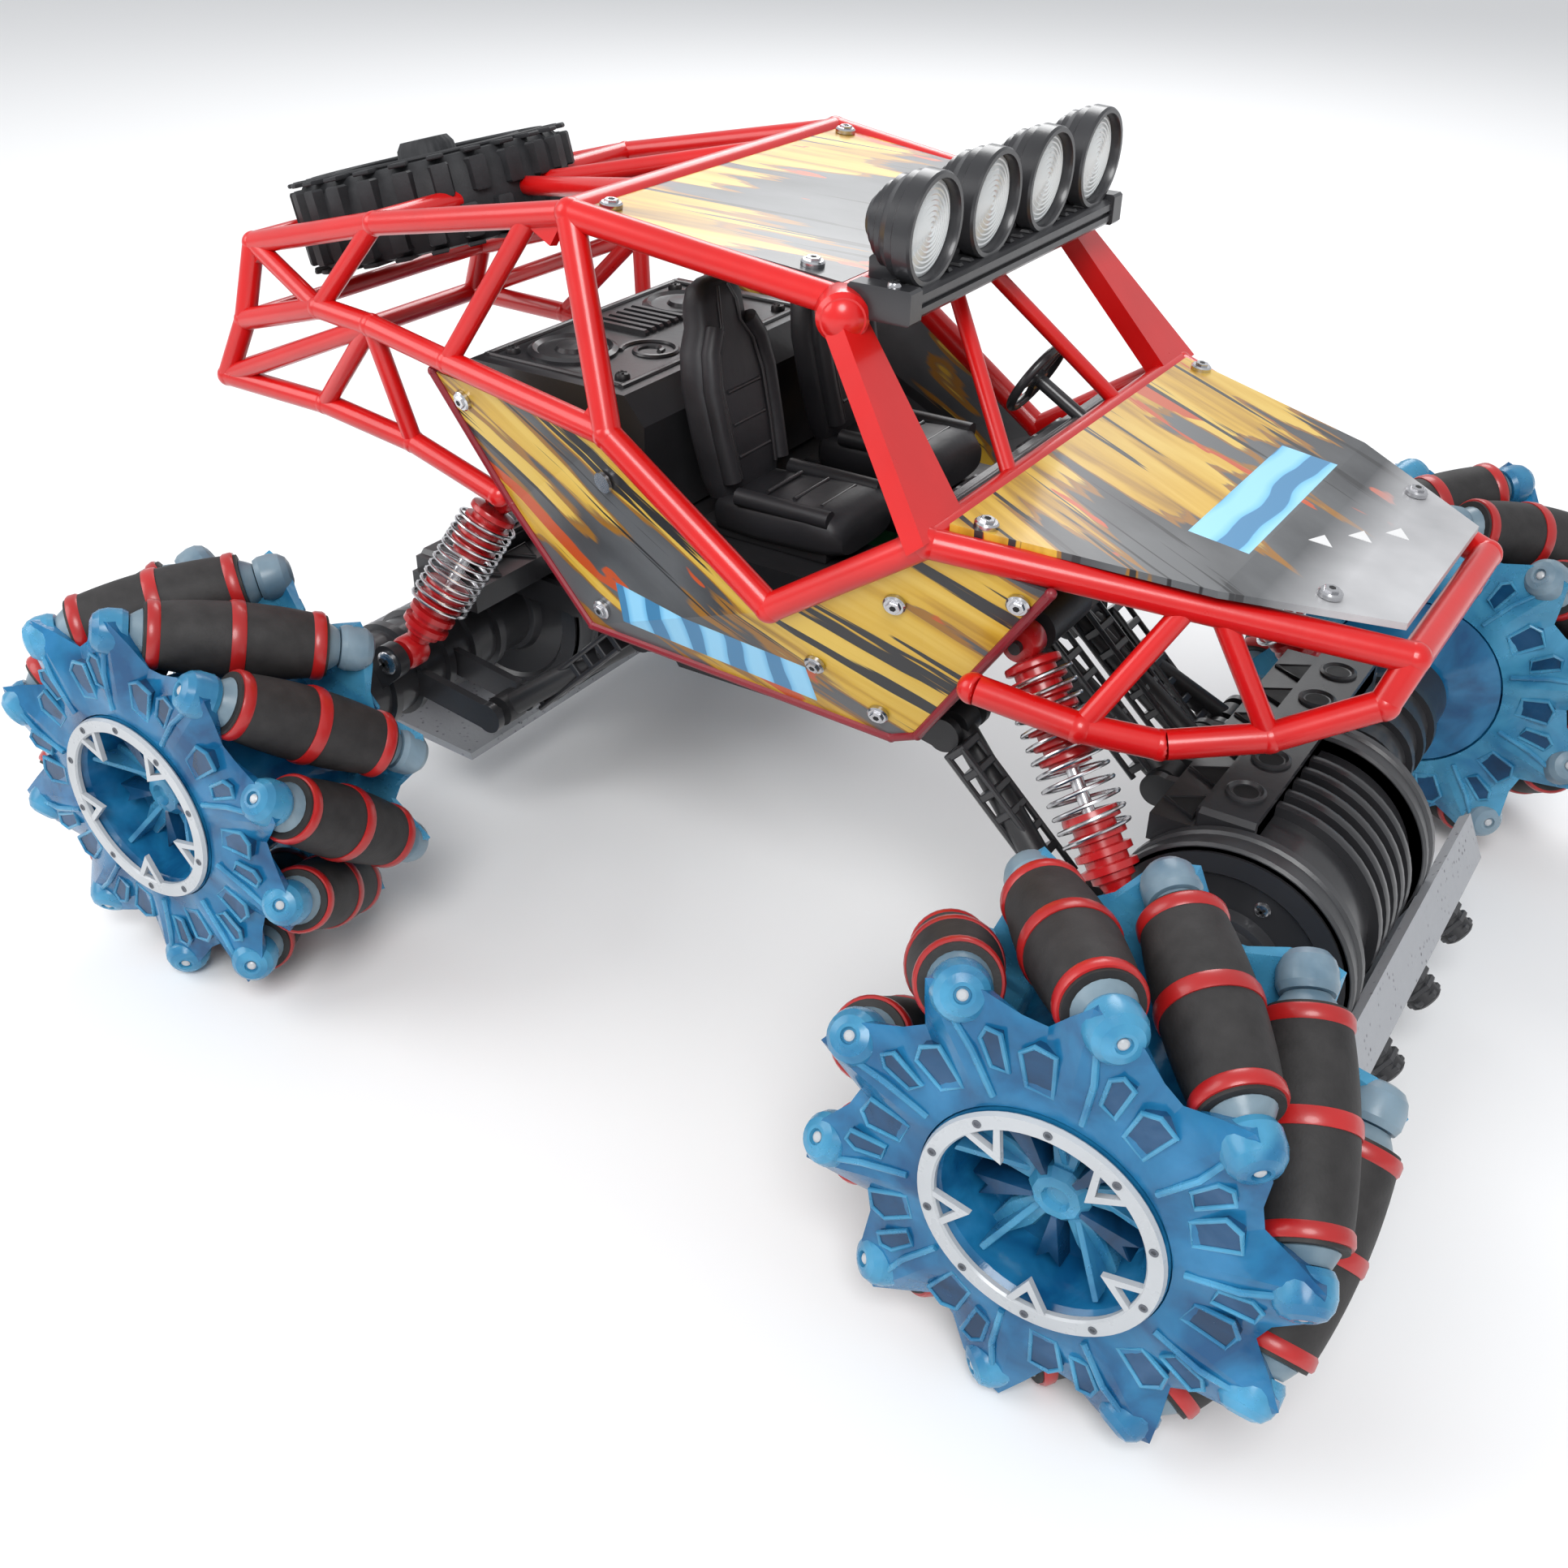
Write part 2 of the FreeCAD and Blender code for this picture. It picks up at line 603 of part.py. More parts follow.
screen = cross("roof_front", dim("tube_r")) + cross("hood_rear", dim("tube_r"))
screen += cross("roof_rear", dim("tube_r"))
for y in (-1, 1):
    screen.append(tube(screen_head(y * 5), screen_foot(y * 31), dim("brace_r")))
feature("cage_crossbars", union(screen).cut(Part.makeCompound([sides_compound, rack])))

front = []
for sign in (-1, 1):
    loop = [at(n, sign) for n in ("loop_rear", "loop_low", "loop_mid", "loop_rise", "loop_front",
                                  "bumper")]
    front += bar(loop, dim("tube_r"))
    front += bar([at("loop_low", sign), at("rail_brace_rear", sign)], dim("truss_r"))
    front += bar([at("loop_rise", sign), at("rail_brace_front", sign)], dim("truss_r"))
front += cross("bumper", dim("tube_r")) + cross("loop_front", dim("tube_r"))
for y in (-12, 12):
    front.append(tube(Vector(at("bumper").x, y, at("bumper").z),
                      Vector(at("loop_front").x, y * 1.4, at("loop_front").z), dim("brace_r")))
bumper = union(front).cut(sides_compound)
feature("front_bumper", bumper)
cage = Part.makeCompound([sides_compound, rack, union(screen), bumper])

# ---------------------------------------------------------------- panels

SIDE_PANEL = [(-92, 60, 147.5), (-74, 54, 113.6), (-49, 54, 85.4), (42, 54, 81.3), (49, 54, 84.2),
              (83, 64, 134.6), (57, 70.4, 141), (18, 70.4, 115), (-27, 70.4, 147)]
SIDE_FACETS = [(0, 1, 8), (1, 2, 8), (2, 7, 8), (2, 3, 7), (3, 4, 7), (4, 6, 7), (4, 5, 6)]


SIDE_SCREWS = [(-82, 142), (-32, 134), (-43, 93), (26, 101), (40, 89), (48, 124), (76, 130.5)]


def side_panel_points(x, z):
    """Point and outward normal on the left side panel at x, z."""
    for a, b, c in SIDE_FACETS:
        p, q, r = (Vector(*SIDE_PANEL[i]) for i in (a, b, c))
        area = (q.x - p.x) * (r.z - p.z) - (r.x - p.x) * (q.z - p.z)
        u = ((x - p.x) * (r.z - p.z) - (r.x - p.x) * (z - p.z)) / area
        v = ((q.x - p.x) * (z - p.z) - (x - p.x) * (q.z - p.z)) / area
        if u >= 0 and v >= 0 and u + v <= 1:
            normal = (q - p).cross(r - p).normalize()
            yield p + (q - p) * u + (r - p) * v, normal * (1 if normal.y > 0 else -1)
            return


def side_panel():
    corners = [Vector(*c) for c in SIDE_PANEL]
    inward = Vector(0, -dim("panel_thickness"), 0)
    return polyhedron(corners, SIDE_FACETS, inward).cut(cage)


panel = side_panel()
feature("side_panel_left", panel)
feature("side_panel_right", mirrored(panel))


def top_panel(stations):
    """Sheet across the car through (x, half width, z) stations, below its rail line."""
    corners = []
    for x, half, z in stations:
        corners += [Vector(x, -half, z), Vector(x, half, z)]
    triangles = []
    for k in range(0, len(corners) - 2, 2):
        triangles += [(k, k + 2, k + 3), (k, k + 3, k + 1)]
    return polyhedron(corners, triangles, Vector(0, 0, dim("panel_thickness")))


hood = top_panel([(60, 67, 144.2), (114, 51, 137), (148, 30, 130.6)])
feature("hood_panel", hood.cut(cage))
roof = top_panel([(-44, 56, 192.4), (23, 52, 185.2)])
feature("roof_panel", roof.cut(cage))

# ---------------------------------------------------------------- chassis and cabin

tub_outline = [(-27, 76), (38, 76), (48, 92), (57, 112), (-42, 112), (-38, 92)]
tub = padded("tub_block", tub_outline, "dims.tub_width")
well = primitive("Box", "tub_well", Placement(Vector(-26, -20, 82), Rotation()),
                 Length="dims.battery_length + 6", Width="dims.battery_width + 10",
                 Height="dims.battery_depth + 16")
doc.recompute()
tub_shape = tub.Shape.cut(well.Shape)
ears = []
for end, (axle_x, out) in AXLES.items():
    low, _, high, _ = pivots(end)
    for sign in (-1, 1):
        root = Vector(low.x - out * 14, 0, low.z + 3)
        ears += clevis(low, sign * dim("lower_chassis_y"), dim("lower_ear_spread"), root)
        root = Vector(high.x - out * 14, 0, high.z + 6)
        ears += clevis(high, sign * dim("upper_link_y"), dim("upper_ear_spread"), root)
        top = shock_ends(end)[0]
        ears.append(along_y(top.x, sign * 24, sign * (top.y + 5), top.z, dim("pivot_pin")))
        ears.append(along_y(top.x, sign * 24, sign * (top.y - 6), top.z, 5))
        ears.append(plate_strut(Vector(top.x, sign * 28, top.z),
                                Vector(top.x - out * 28, sign * 28, 106), 5, 8))
feature("chassis_tub", union([tub_shape] + ears))

plate = padded("hatch_plate", [(-32, 73), (32, 73), (32, 75.8), (-32, 75.8)], "dims.battery_width + 16")
slot = primitive("Box", "switch_slot", Placement(Vector(20, -4, 70), Rotation()), Length="12",
                 Width="8", Height="10")
keep("battery_hatch", cut("battery_hatch", plate, slot))

pack = primitive("Box", "battery_block", Placement(Vector(-23, -15, 82), Rotation()),
                 Length="dims.battery_length", Width="dims.battery_width",
                 Height="dims.battery_depth")
keep("battery_pack", pack)

board = padded("circuit_board", [(-20, 98), (30, 98), (30, 99.6), (-20, 99.6)], "dims.battery_width")
keep("circuit_board", board)

SEAT = [(-24, 112.2), (14, 112.2), (17, 120), (12, 125), (-12, 123), (-16, 130), (-24, 168),
        (-28, 174), (-33, 172), (-34, 164), (-28, 128)]
seats = [padded("seat_" + side, SEAT, "dims.seat_width", place=Vector(0, sign * dim("seat_y"), 0))
         for side, sign in SIDES.items()]
keep("seats", fused("seats", seats))

DASH = [(30, 112.2), (59, 112.2), (63, 124), (60, 137), (44, 138), (36, 128)]
dash = padded("dash_block", DASH, "dims.tub_width + 10")
keep("dashboard", cut("dashboard", dash, nodes["chassis_tub"]))
doc.recompute()

DECK = [(-66, 113), (-36, 113), (-36, 140), (-42, 147), (-92, 147), (-98, 141), (-84, 126)]
deck_shape = padded("deck_block", DECK, "dims.deck_width")
doc.recompute()
feature("rear_deck", deck_shape.Shape.cut(cage))

column = Vector(0.86, 0, -0.5)
wheel_centre = Vector(35, dim("seat_y") + 2, 146.5)
rim = Part.makeTorus(9.5, 1.2, wheel_centre, column)
spokes = []
for k in range(3):
    arm = Rotation(column, 90 + 120 * k).multVec(column.cross(Vector(0, 1, 0)).normalize())
    spokes.append(tube(wheel_centre, wheel_centre + arm * 9.5, 0.9))
axis = column.normalize()
stem = tube(wheel_centre, wheel_centre + axis * 18, 1.8)
boss = Part.makeCylinder(2.6, 3, wheel_centre - axis * 1.5, axis)
steering = union([rim, boss, stem] + spokes)
feature("steering_wheel", steering.cut(nodes["dashboard"].Shape))

slope = math.degrees(math.atan2(CAGE["top_kink"][2] - CAGE["rear_top"][2],
                                CAGE["top_kink"][0] - CAGE["rear_top"][0]))
radius, half = dim("spare_radius"), dim("spare_width") / 2
tyre_outline = [(0, -half + 6), (radius - 17, -half + 6), (radius - 15, -half), (radius - 5, -half),
                (radius, -half + 5), (radius, half - 5), (radius - 5, half), (radius - 15, half),
                (radius - 17, half - 3), (7, half - 3), (6, half + 4), (0, half + 4)]
spare = revolved("tyre_block", tyre_outline)
spare.Placement = Placement(Vector(-142, 0, 172), Rotation(Vector(0, 1, 0), -slope))
doc.recompute()
feature("spare_wheel", spare.Shape.cut(cage))

# light bar across the roof's front edge, with four round lamps
BAR = [(27, 184.4), (30.5, 181), (41, 181), (41, 187.3), (30, 188.3)]
bar_block = padded("bar_block", BAR, "110")
doc.recompute()
feature("light_bar", bar_block.Shape.cut(cage))
lamp_direction = Vector(1, 0, -0.06).normalize()
LAMP = [(0, 0), (5, 0), (9, 3), (dim("lamp_radius"), 11), (dim("lamp_radius"), dim("lamp_depth")),
        (dim("lamp_radius") - 1.4, dim("lamp_depth")), (dim("lamp_radius") - 1.4, 11), (0, 11)]
lamp = revolved("lamp_master", LAMP)
doc.recompute()
housings, lenses = [], []
for y in (-42.5, -14.2, 14.2, 42.5):
    place = Placement(Vector(25, y, 199), toward(lamp_direction))
    shell = lamp.Shape.copy()
    shell.Placement = place
    foot = tube(Vector(30.5, y, 188), Vector(30.5, y, 194), 3.6)
    housings.append(union([shell, foot]))
    lens = Part.makeCylinder(dim("lamp_radius") - 1.5, 2.6, Vector(0, 0, 11.1))
    lens.Placement = place
    lenses.append(lens)
feature("lamp_housings", Part.makeCompound(housings).cut(nodes["light_bar"].Shape))
feature("lamp_lenses", Part.makeCompound(lenses).cut(Part.makeCompound(housings)))

# power switch in the hatch slot, sliding along the car
knob = primitive("Box", "switch_knob", Placement(Vector(21, -3.2, 71), Rotation()), Length="7",
                 Width="6.4", Height="4.6")
keep("power_switch", knob)

# panel screws: heads standing on the panels
screws = []


def screw(point, outward):
    head = Part.makeCylinder(2.6, 1.4, point, outward)
    return head


for sign in (-1, 1):
    for x, y, z in ((66, 62, 144.9), (132, 33, 135.3)):
        screws.append(screw(Vector(x, sign * y, z), Vector(0.14, 0, 1)))
    for x, y, z in ((-39, 51.7, 193.5), (13, 48, 187.8)):
        screws.append(screw(Vector(x, sign * y, z), Vector(0.1, 0, 1)))
for x, z in SIDE_SCREWS:
    for point, normal in side_panel_points(x, z):
        screws.append(screw(point, normal))
        screws.append(mirrored(screw(point, normal)))
feature("panel_screws", Part.makeCompound(
    [s.cut(nodes["hood_panel"].Shape).cut(nodes["roof_panel"].Shape) for s in screws]))

# ---------------------------------------------------------------- check and export

doc.recompute()
for obj in doc.Objects:
    if "Invalid" in obj.State or "Error" in obj.State:
        raise RuntimeError("object failed: " + obj.Name)
os.makedirs("parts", exist_ok=True)
for label, obj in nodes.items():
    if obj.Shape.isNull() or not obj.Shape.isValid():
        raise RuntimeError("sub-part is not valid: " + label)
    obj.Shape.exportStep("parts/" + label + ".step")
print(len(nodes), "sub-parts written")
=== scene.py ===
import json
import math

import bmesh
import bpy
from mathutils import Matrix, Vector


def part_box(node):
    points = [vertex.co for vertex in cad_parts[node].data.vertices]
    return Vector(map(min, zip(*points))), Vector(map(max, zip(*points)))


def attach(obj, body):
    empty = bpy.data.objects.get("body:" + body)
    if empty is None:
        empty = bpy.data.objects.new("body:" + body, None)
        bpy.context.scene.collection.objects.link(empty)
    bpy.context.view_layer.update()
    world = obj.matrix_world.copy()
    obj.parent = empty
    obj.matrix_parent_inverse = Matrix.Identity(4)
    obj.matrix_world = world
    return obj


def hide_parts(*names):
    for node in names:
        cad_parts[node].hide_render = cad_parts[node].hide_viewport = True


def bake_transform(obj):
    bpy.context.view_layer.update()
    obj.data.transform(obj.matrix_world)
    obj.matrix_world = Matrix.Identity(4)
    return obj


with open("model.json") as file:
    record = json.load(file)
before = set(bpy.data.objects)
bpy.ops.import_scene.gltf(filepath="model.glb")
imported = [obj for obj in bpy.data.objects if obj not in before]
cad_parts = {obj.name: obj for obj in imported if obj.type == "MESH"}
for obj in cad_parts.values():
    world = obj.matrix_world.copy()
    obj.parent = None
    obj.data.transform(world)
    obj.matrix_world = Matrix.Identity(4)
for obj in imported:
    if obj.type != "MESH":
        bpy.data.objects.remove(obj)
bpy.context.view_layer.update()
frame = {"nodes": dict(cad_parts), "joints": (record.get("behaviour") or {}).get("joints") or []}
MM = 0.001
JOINTS = {j["name"]: j for j in frame["joints"]}
ENDS = {"front": 1, "rear": -1}
SIDES = {"left": 1, "right": -1}
TAU = math.tau

# ---------------------------------------------------------------- materials


class Nodes:
    """Short names for building one material's node tree."""

    def __init__(self, name):
        self.material = bpy.data.materials.new(name)
        self.material.use_nodes = True
        self.tree = self.material.node_tree
        self.shader = self.tree.nodes["Principled BSDF"]
        coords = self.tree.nodes.new("ShaderNodeTexCoord")
        self.place = coords.outputs["Object"]

    def set(self, **values):
        for key, value in values.items():
            self.shader.inputs[key.replace("_", " ")].default_value = value
        return self

    def node(self, kind, links=(), **settings):
        made = self.tree.nodes.new("ShaderNode" + kind)
        for key, value in settings.items():
            setattr(made, key, value)
        for slot, source in dict(links).items():
            if hasattr(source, "is_output"):
                self.tree.links.new(source, made.inputs[slot])
            else:
                made.inputs[slot].default_value = source
        return made

    def link(self, source, slot):
        self.tree.links.new(source, self.shader.inputs[slot])

    def noise(self, scale, detail=4.0, stretch=None, turn=(0, 0, 0), distortion=0.0):
        place = self.place
        if stretch:
            turned = {"Vector": place, "Rotation": turn, "Scale": [1 / s for s in stretch]}
            place = self.node("Mapping", turned, vector_type="TEXTURE").outputs[0]
        made = self.node("TexNoise", {"Vector": place, "Scale": scale, "Detail": detail,
                                      "Distortion": distortion})
        return made.outputs["Fac"]

    def ramp(self, source, *stops):
        made = self.node("ValToRGB", {"Fac": source})
        band = made.color_ramp
        while len(band.elements) < len(stops):
            band.elements.new(0.5)
        for element, (where, colour) in zip(band.elements, stops):
            element.position = where
            element.color = colour if len(colour) == 4 else (*colour, 1)
        return made.outputs["Color"]

    def math(self, operation, a, b=0.0):
        return self.node("Math", {0: a, 1: b}, operation=operation).outputs[0]

    def mix(self, share, a, b):
        made = self.node("Mix", {"Factor": share}, data_type="RGBA")
        for slot, value in ((6, a), (7, b)):
            if hasattr(value, "is_output"):
                self.tree.links.new(value, made.inputs[slot])
            else:
                made.inputs[slot].default_value = (*value, 1)
        return made.outputs[2]

    def bump(self, height, strength=0.3, distance=0.0005):
        made = self.node("Bump", {"Height": height, "Strength": strength, "Distance": distance})
        self.link(made.outputs[0], "Normal")
        return self

    def rough(self, source, low, high):
        made = self.node("MapRange", {"Value": source, "To Min": low, "To Max": high})
        self.link(made.outputs[0], "Roughness")
        return self


def plastic(name, colour, rough, grain=900.0, strength=0.12, shade=0.75, coat=0.0):
    """Moulded plastic: fine grain, faint mottling in colour and in gloss."""
    n = Nodes(name).set(Coat_Weight=coat, Coat_Roughness=0.12)
    dark = tuple(c * shade for c in colour)
    n.link(n.ramp(n.noise(35, 3), (0.3, dark), (0.7, colour)), "Base Color")
    n.rough(n.noise(grain / 3, 3), rough * 0.8, rough * 1.25)
    return n.bump(n.noise(grain, 2), strength, 0.0002).material


def clear_blue(name, colour, deep, through, rough):
    """Tinted clear plastic with flow marks and frosted patches."""
    n = Nodes(name).set(Transmission_Weight=through, IOR=1.46)
    n.link(n.ramp(n.noise(70, 4, distortion=0.6), (0.34, deep), (0.55, colour),
                  (0.78, tuple(min(1, c * 1.3 + 0.03) for c in colour))), "Base Color")
    n.rough(n.noise(170, 4), rough * 0.5, rough * 1.8)
    return n.bump(n.noise(160, 3, distortion=1.0), 0.18, 0.0006).material


def rubber(name, colour):
    n = Nodes(name).set(Specular_IOR_Level=0.35)
    n.link(n.ramp(n.noise(240, 5), (0.3, tuple(c * 0.6 for c in colour)), (0.75, colour)), "Base Color")
    n.rough(n.noise(80, 4), 0.5, 0.72)
    return n.bump(n.noise(1500, 2), 0.25, 0.0002).material


def metal(name, colour, rough, stretch=(1, 1, 1)):
    n = Nodes(name).set(Metallic=1.0)
    n.link(n.ramp(n.noise(60, 4), (0.3, tuple(c * 0.8 for c in colour)), (0.7, colour)), "Base Color")
    n.rough(n.noise(500, 3, stretch), rough * 0.7, rough * 1.5)
    return n.bump(n.noise(900, 2, stretch), 0.1, 0.0001).material


def speckled(name, colour):
    """Light grey moulding with dark and pale specks."""
    n = Nodes(name)
    specks = n.node("TexVoronoi", {"Vector": n.place, "Scale": 520.0}).outputs["Distance"]
    fleck = n.ramp(specks, (0.12, (0.10, 0.10, 0.11)), (0.3, colour))
    patches = n.ramp(n.noise(140, 6), (0.45, (0, 0, 0)), (0.6, (1, 1, 1)))
    n.link(n.mix(patches, colour, fleck), "Base Color")
    n.rough(n.noise(300, 3), 0.45, 0.7)
    return n.bump(n.noise(700, 3), 0.3, 0.0003).material


def graphic(name, thin, flow, blue_box, gold_from, light_from=None):
    """Printed sheet: grey ground with yellow-gold streaks that follow flow and thin out along X
    from gold_from, thin dark lines, a little orange, one pale blue block and no lettering."""
    n = Nodes(name).set(Coat_Weight=0.18, Coat_Roughness=0.12, Roughness=0.36)
    split = n.node("SeparateXYZ", {"Vector": n.place})

    def grain(long, short):
        return tuple(short if axis in thin else long for axis in "XYZ")
    wave = n.noise(30, 3, grain(0.26, 1.5), flow, 0.5)
    fine = n.noise(85, 4, grain(0.12, 1.7), flow, 0.4)
    streak = n.math("ADD", n.math("MULTIPLY", wave, 0.75), n.math("MULTIPLY", fine, 0.35))
    middle, fade = gold_from
    lean = n.math("MULTIPLY", n.math("SUBTRACT", middle, split.outputs["X"]), fade)
    streak = n.math("ADD", streak, lean)
    ground = n.ramp(n.noise(40, 5, grain(0.5, 1.0), flow), (0.35, (0.040, 0.042, 0.046)),
                    (0.6, (0.105, 0.11, 0.115)))
    gold = n.ramp(fine, (0.3, (0.20, 0.095, 0.008)), (0.42, (0.46, 0.25, 0.015)),
                  (0.5, (0.62, 0.37, 0.03)), (0.62, (0.70, 0.47, 0.08)))
    mask = n.ramp(streak, (0.56, (0, 0, 0)), (0.57, (1, 1, 1)))
    colour = n.mix(mask, ground, gold)
    edge = n.ramp(streak, (0.535, (0, 0, 0)), (0.545, (1, 1, 1)), (0.558, (1, 1, 1)), (0.568, (0, 0, 0)))
    colour = n.mix(edge, colour, (0.30, 0.13, 0.012))
    ember = n.ramp(n.noise(48, 3, grain(0.35, 1.6), flow, 1.0), (0.645, (0, 0, 0)), (0.655, (1, 1, 1)))
    colour = n.mix(ember, colour, (0.52, 0.075, 0.012))
    scratch = n.ramp(n.noise(190, 3, grain(0.05, 1.5), flow, 0.2), (0.37, (1, 1, 1)), (0.385, (0, 0, 0)))
    colour = n.mix(scratch, colour, (0.02, 0.02, 0.022))
    if light_from is not None:
        shine = n.node("MapRange", {"Value": split.outputs["X"], "From Min": light_from,
                                    "From Max": light_from + 0.012}).outputs[0]
        pale = n.ramp(n.noise(30, 4), (0.35, (0.34, 0.34, 0.35)), (0.65, (0.5, 0.5, 0.51)))
        colour = n.mix(shine, colour, pale)
    (x0, x1), (a0, a1), axis, slant = blue_box
    across = n.math("ADD", split.outputs[axis], n.math("MULTIPLY", split.outputs["X"], slant))
    inside = None
    for value, low, high in ((split.outputs["X"], x0, x1), (across, a0, a1)):
        for test, edge in (("GREATER_THAN", low), ("LESS_THAN", high)):
            step = n.math(test, value, edge)
            inside = step if inside is None else n.math("MULTIPLY", inside, step)
    bars = n.node("TexWave", {"Vector": n.place, "Scale": 26.0, "Distortion": 2.5, "Detail": 2.0},
                  bands_direction="X").outputs["Fac"]
    block = n.ramp(bars, (0.30, (0.05, 0.22, 0.42)), (0.36, (0.16, 0.50, 0.80)),
                   (0.8, (0.30, 0.66, 0.92)))
    n.link(n.mix(inside, colour, block), "Base Color")
    return n.bump(n.noise(15, 2), 0.05, 0.0008).material


M = {
    "red": plastic("red_gloss", (0.62, 0.004, 0.004), 0.3, 600, 0.08, 0.84, 0.3),
    "rim": plastic("dark_red_rim", (0.24, 0.012, 0.022), 0.36, 600, 0.08, 0.8),
    "black": plastic("black_moulding", (0.020, 0.020, 0.022), 0.42, 800, 0.2, 0.6),
    "black_satin": plastic("black_satin", (0.030, 0.030, 0.033), 0.3, 500, 0.14, 0.65, 0.2),
    "grey_black": plastic("grey_black_cover", (0.055, 0.056, 0.060), 0.36, 500, 0.2, 0.6),
    "seat": plastic("seat_moulding", (0.024, 0.024, 0.028), 0.46, 420, 0.35, 0.55),
    "skid": speckled("speckled_grey", (0.34, 0.35, 0.37)),
    "blue": clear_blue("clear_blue", (0.020, 0.24, 0.50), (0.006, 0.11, 0.29), 0.45, 0.12),
    # blue_light: a lighter, rougher copy of the clear blue; its thin lines on the hub's ridges and pocket
    # rims are painted highlights
    "blue_light": clear_blue("frosted_blue_and_painted_highlight", (0.09, 0.42, 0.68), (0.03, 0.24, 0.48), 0.45, 0.22),
    # blue_deep: a dark copy of the clear blue, used as painted shade in the pockets between the hub's
    # teeth and for the dish's spikes
    "blue_deep": clear_blue("deep_blue", (0.006, 0.06, 0.15), (0.003, 0.03, 0.08), 0.10, 0.2),
    "cone": clear_blue("frosted_cone", (0.30, 0.42, 0.50), (0.16, 0.27, 0.36), 0.45, 0.3),
    "rubber": rubber("roller_rubber", (0.032, 0.030, 0.030)),
    "tyre": rubber("spare_tyre_rubber", (0.026, 0.027, 0.030)),
    "band": plastic("red_band", (0.44, 0.012, 0.012), 0.35, 500, 0.15, 0.75, 0.2),
    "trim": plastic("silver_trim", (0.46, 0.48, 0.50), 0.28, 700, 0.08, 0.85, 0.3),
    "mark": plastic("dark_mark", (0.10, 0.11, 0.13), 0.5, 500),
    "steel": metal("spring_steel", (0.72, 0.72, 0.74), 0.22),
    "screw": metal("screw_steel", (0.62, 0.62, 0.64), 0.2),
    # near-black painted shade for recesses drawn as thin dark shapes: screw crosses and sockets, dimples
    # and triangular recesses
    "hole_painted_shade": plastic("recess_painted_shade", (0.008, 0.008, 0.009), 0.7, 500),
    "shock_red": plastic("shock_red", (0.46, 0.008, 0.010), 0.28, 600, 0.1, 0.75, 0.3),
    "lens": plastic("lens_white", (0.66, 0.68, 0.68), 0.16, 800, 0.1, 0.9, 0.6),
    "battery": plastic("battery_wrap", (0.03, 0.08, 0.20), 0.4, 500),
    "board": plastic("board_green", (0.02, 0.16, 0.06), 0.4, 500),
    "motor": metal("motor_can", (0.55, 0.55, 0.57), 0.3, (1, 8, 1)),
    "side": graphic("side_print", "Z", (0, 0.5, 0), ((-0.036, 0.022), (0.088, 0.100), "Z", 0.10),
                    (0.02, -0.55)),
    "hood": graphic("hood_print", "Y", (0, 0, -0.45), ((0.099, 0.113), (-0.030, 0.032), "Y", 0.0),
                    (0.086, 3.0), 0.121),
    "roof": graphic("roof_print", "Y", (0, 0, 0.3), ((-0.001, 0.0), (0.0, 0.001), "Y", 0.0),
                    (-0.022, 4.0)),
    "white": plastic("white_print", (0.75, 0.75, 0.75), 0.35, 500, 0.05, 0.9),
}
CAD_LOOKS = {
    "cage_side_left": "red", "cage_side_right": "red", "rear_rack": "red", "cage_crossbars": "red",
    "front_bumper": "red", "chassis_tub": "black", "battery_hatch": "black", "dashboard": "black_satin",
    "rear_deck": "black_satin", "steering_wheel": "black_satin", "power_switch": "black",
    "battery_pack": "battery", "circuit_board": "board", "front_motors": "motor", "rear_motors": "motor",
    "side_panel_left": "side", "side_panel_right": "side", "hood_panel": "hood", "roof_panel": "roof",
    "front_lower_links": "black", "front_upper_links": "black", "rear_lower_links": "black",
    "rear_upper_links": "black", "front_axle_case": "black_satin", "rear_axle_case": "black_satin",
    "front_skid_plate": "skid", "rear_skid_plate": "skid", "light_bar": "black_satin",
    "lamp_housings": "black_satin", "lamp_lenses": "lens", "seats": "seat", "spare_wheel": "tyre",
    "panel_screws": "screw", "front_shock_bodies": "shock_red", "rear_shock_bodies": "shock_red",
    "front_shock_rods": "shock_red", "rear_shock_rods": "shock_red",
    "front_shock_springs": "steel", "rear_shock_springs": "steel",
}
for node, look in CAD_LOOKS.items():
    slots = frame["nodes"][node].data.materials
    slots.clear()
    slots.append(M[look])

# ---------------------------------------------------------------- mesh helpers


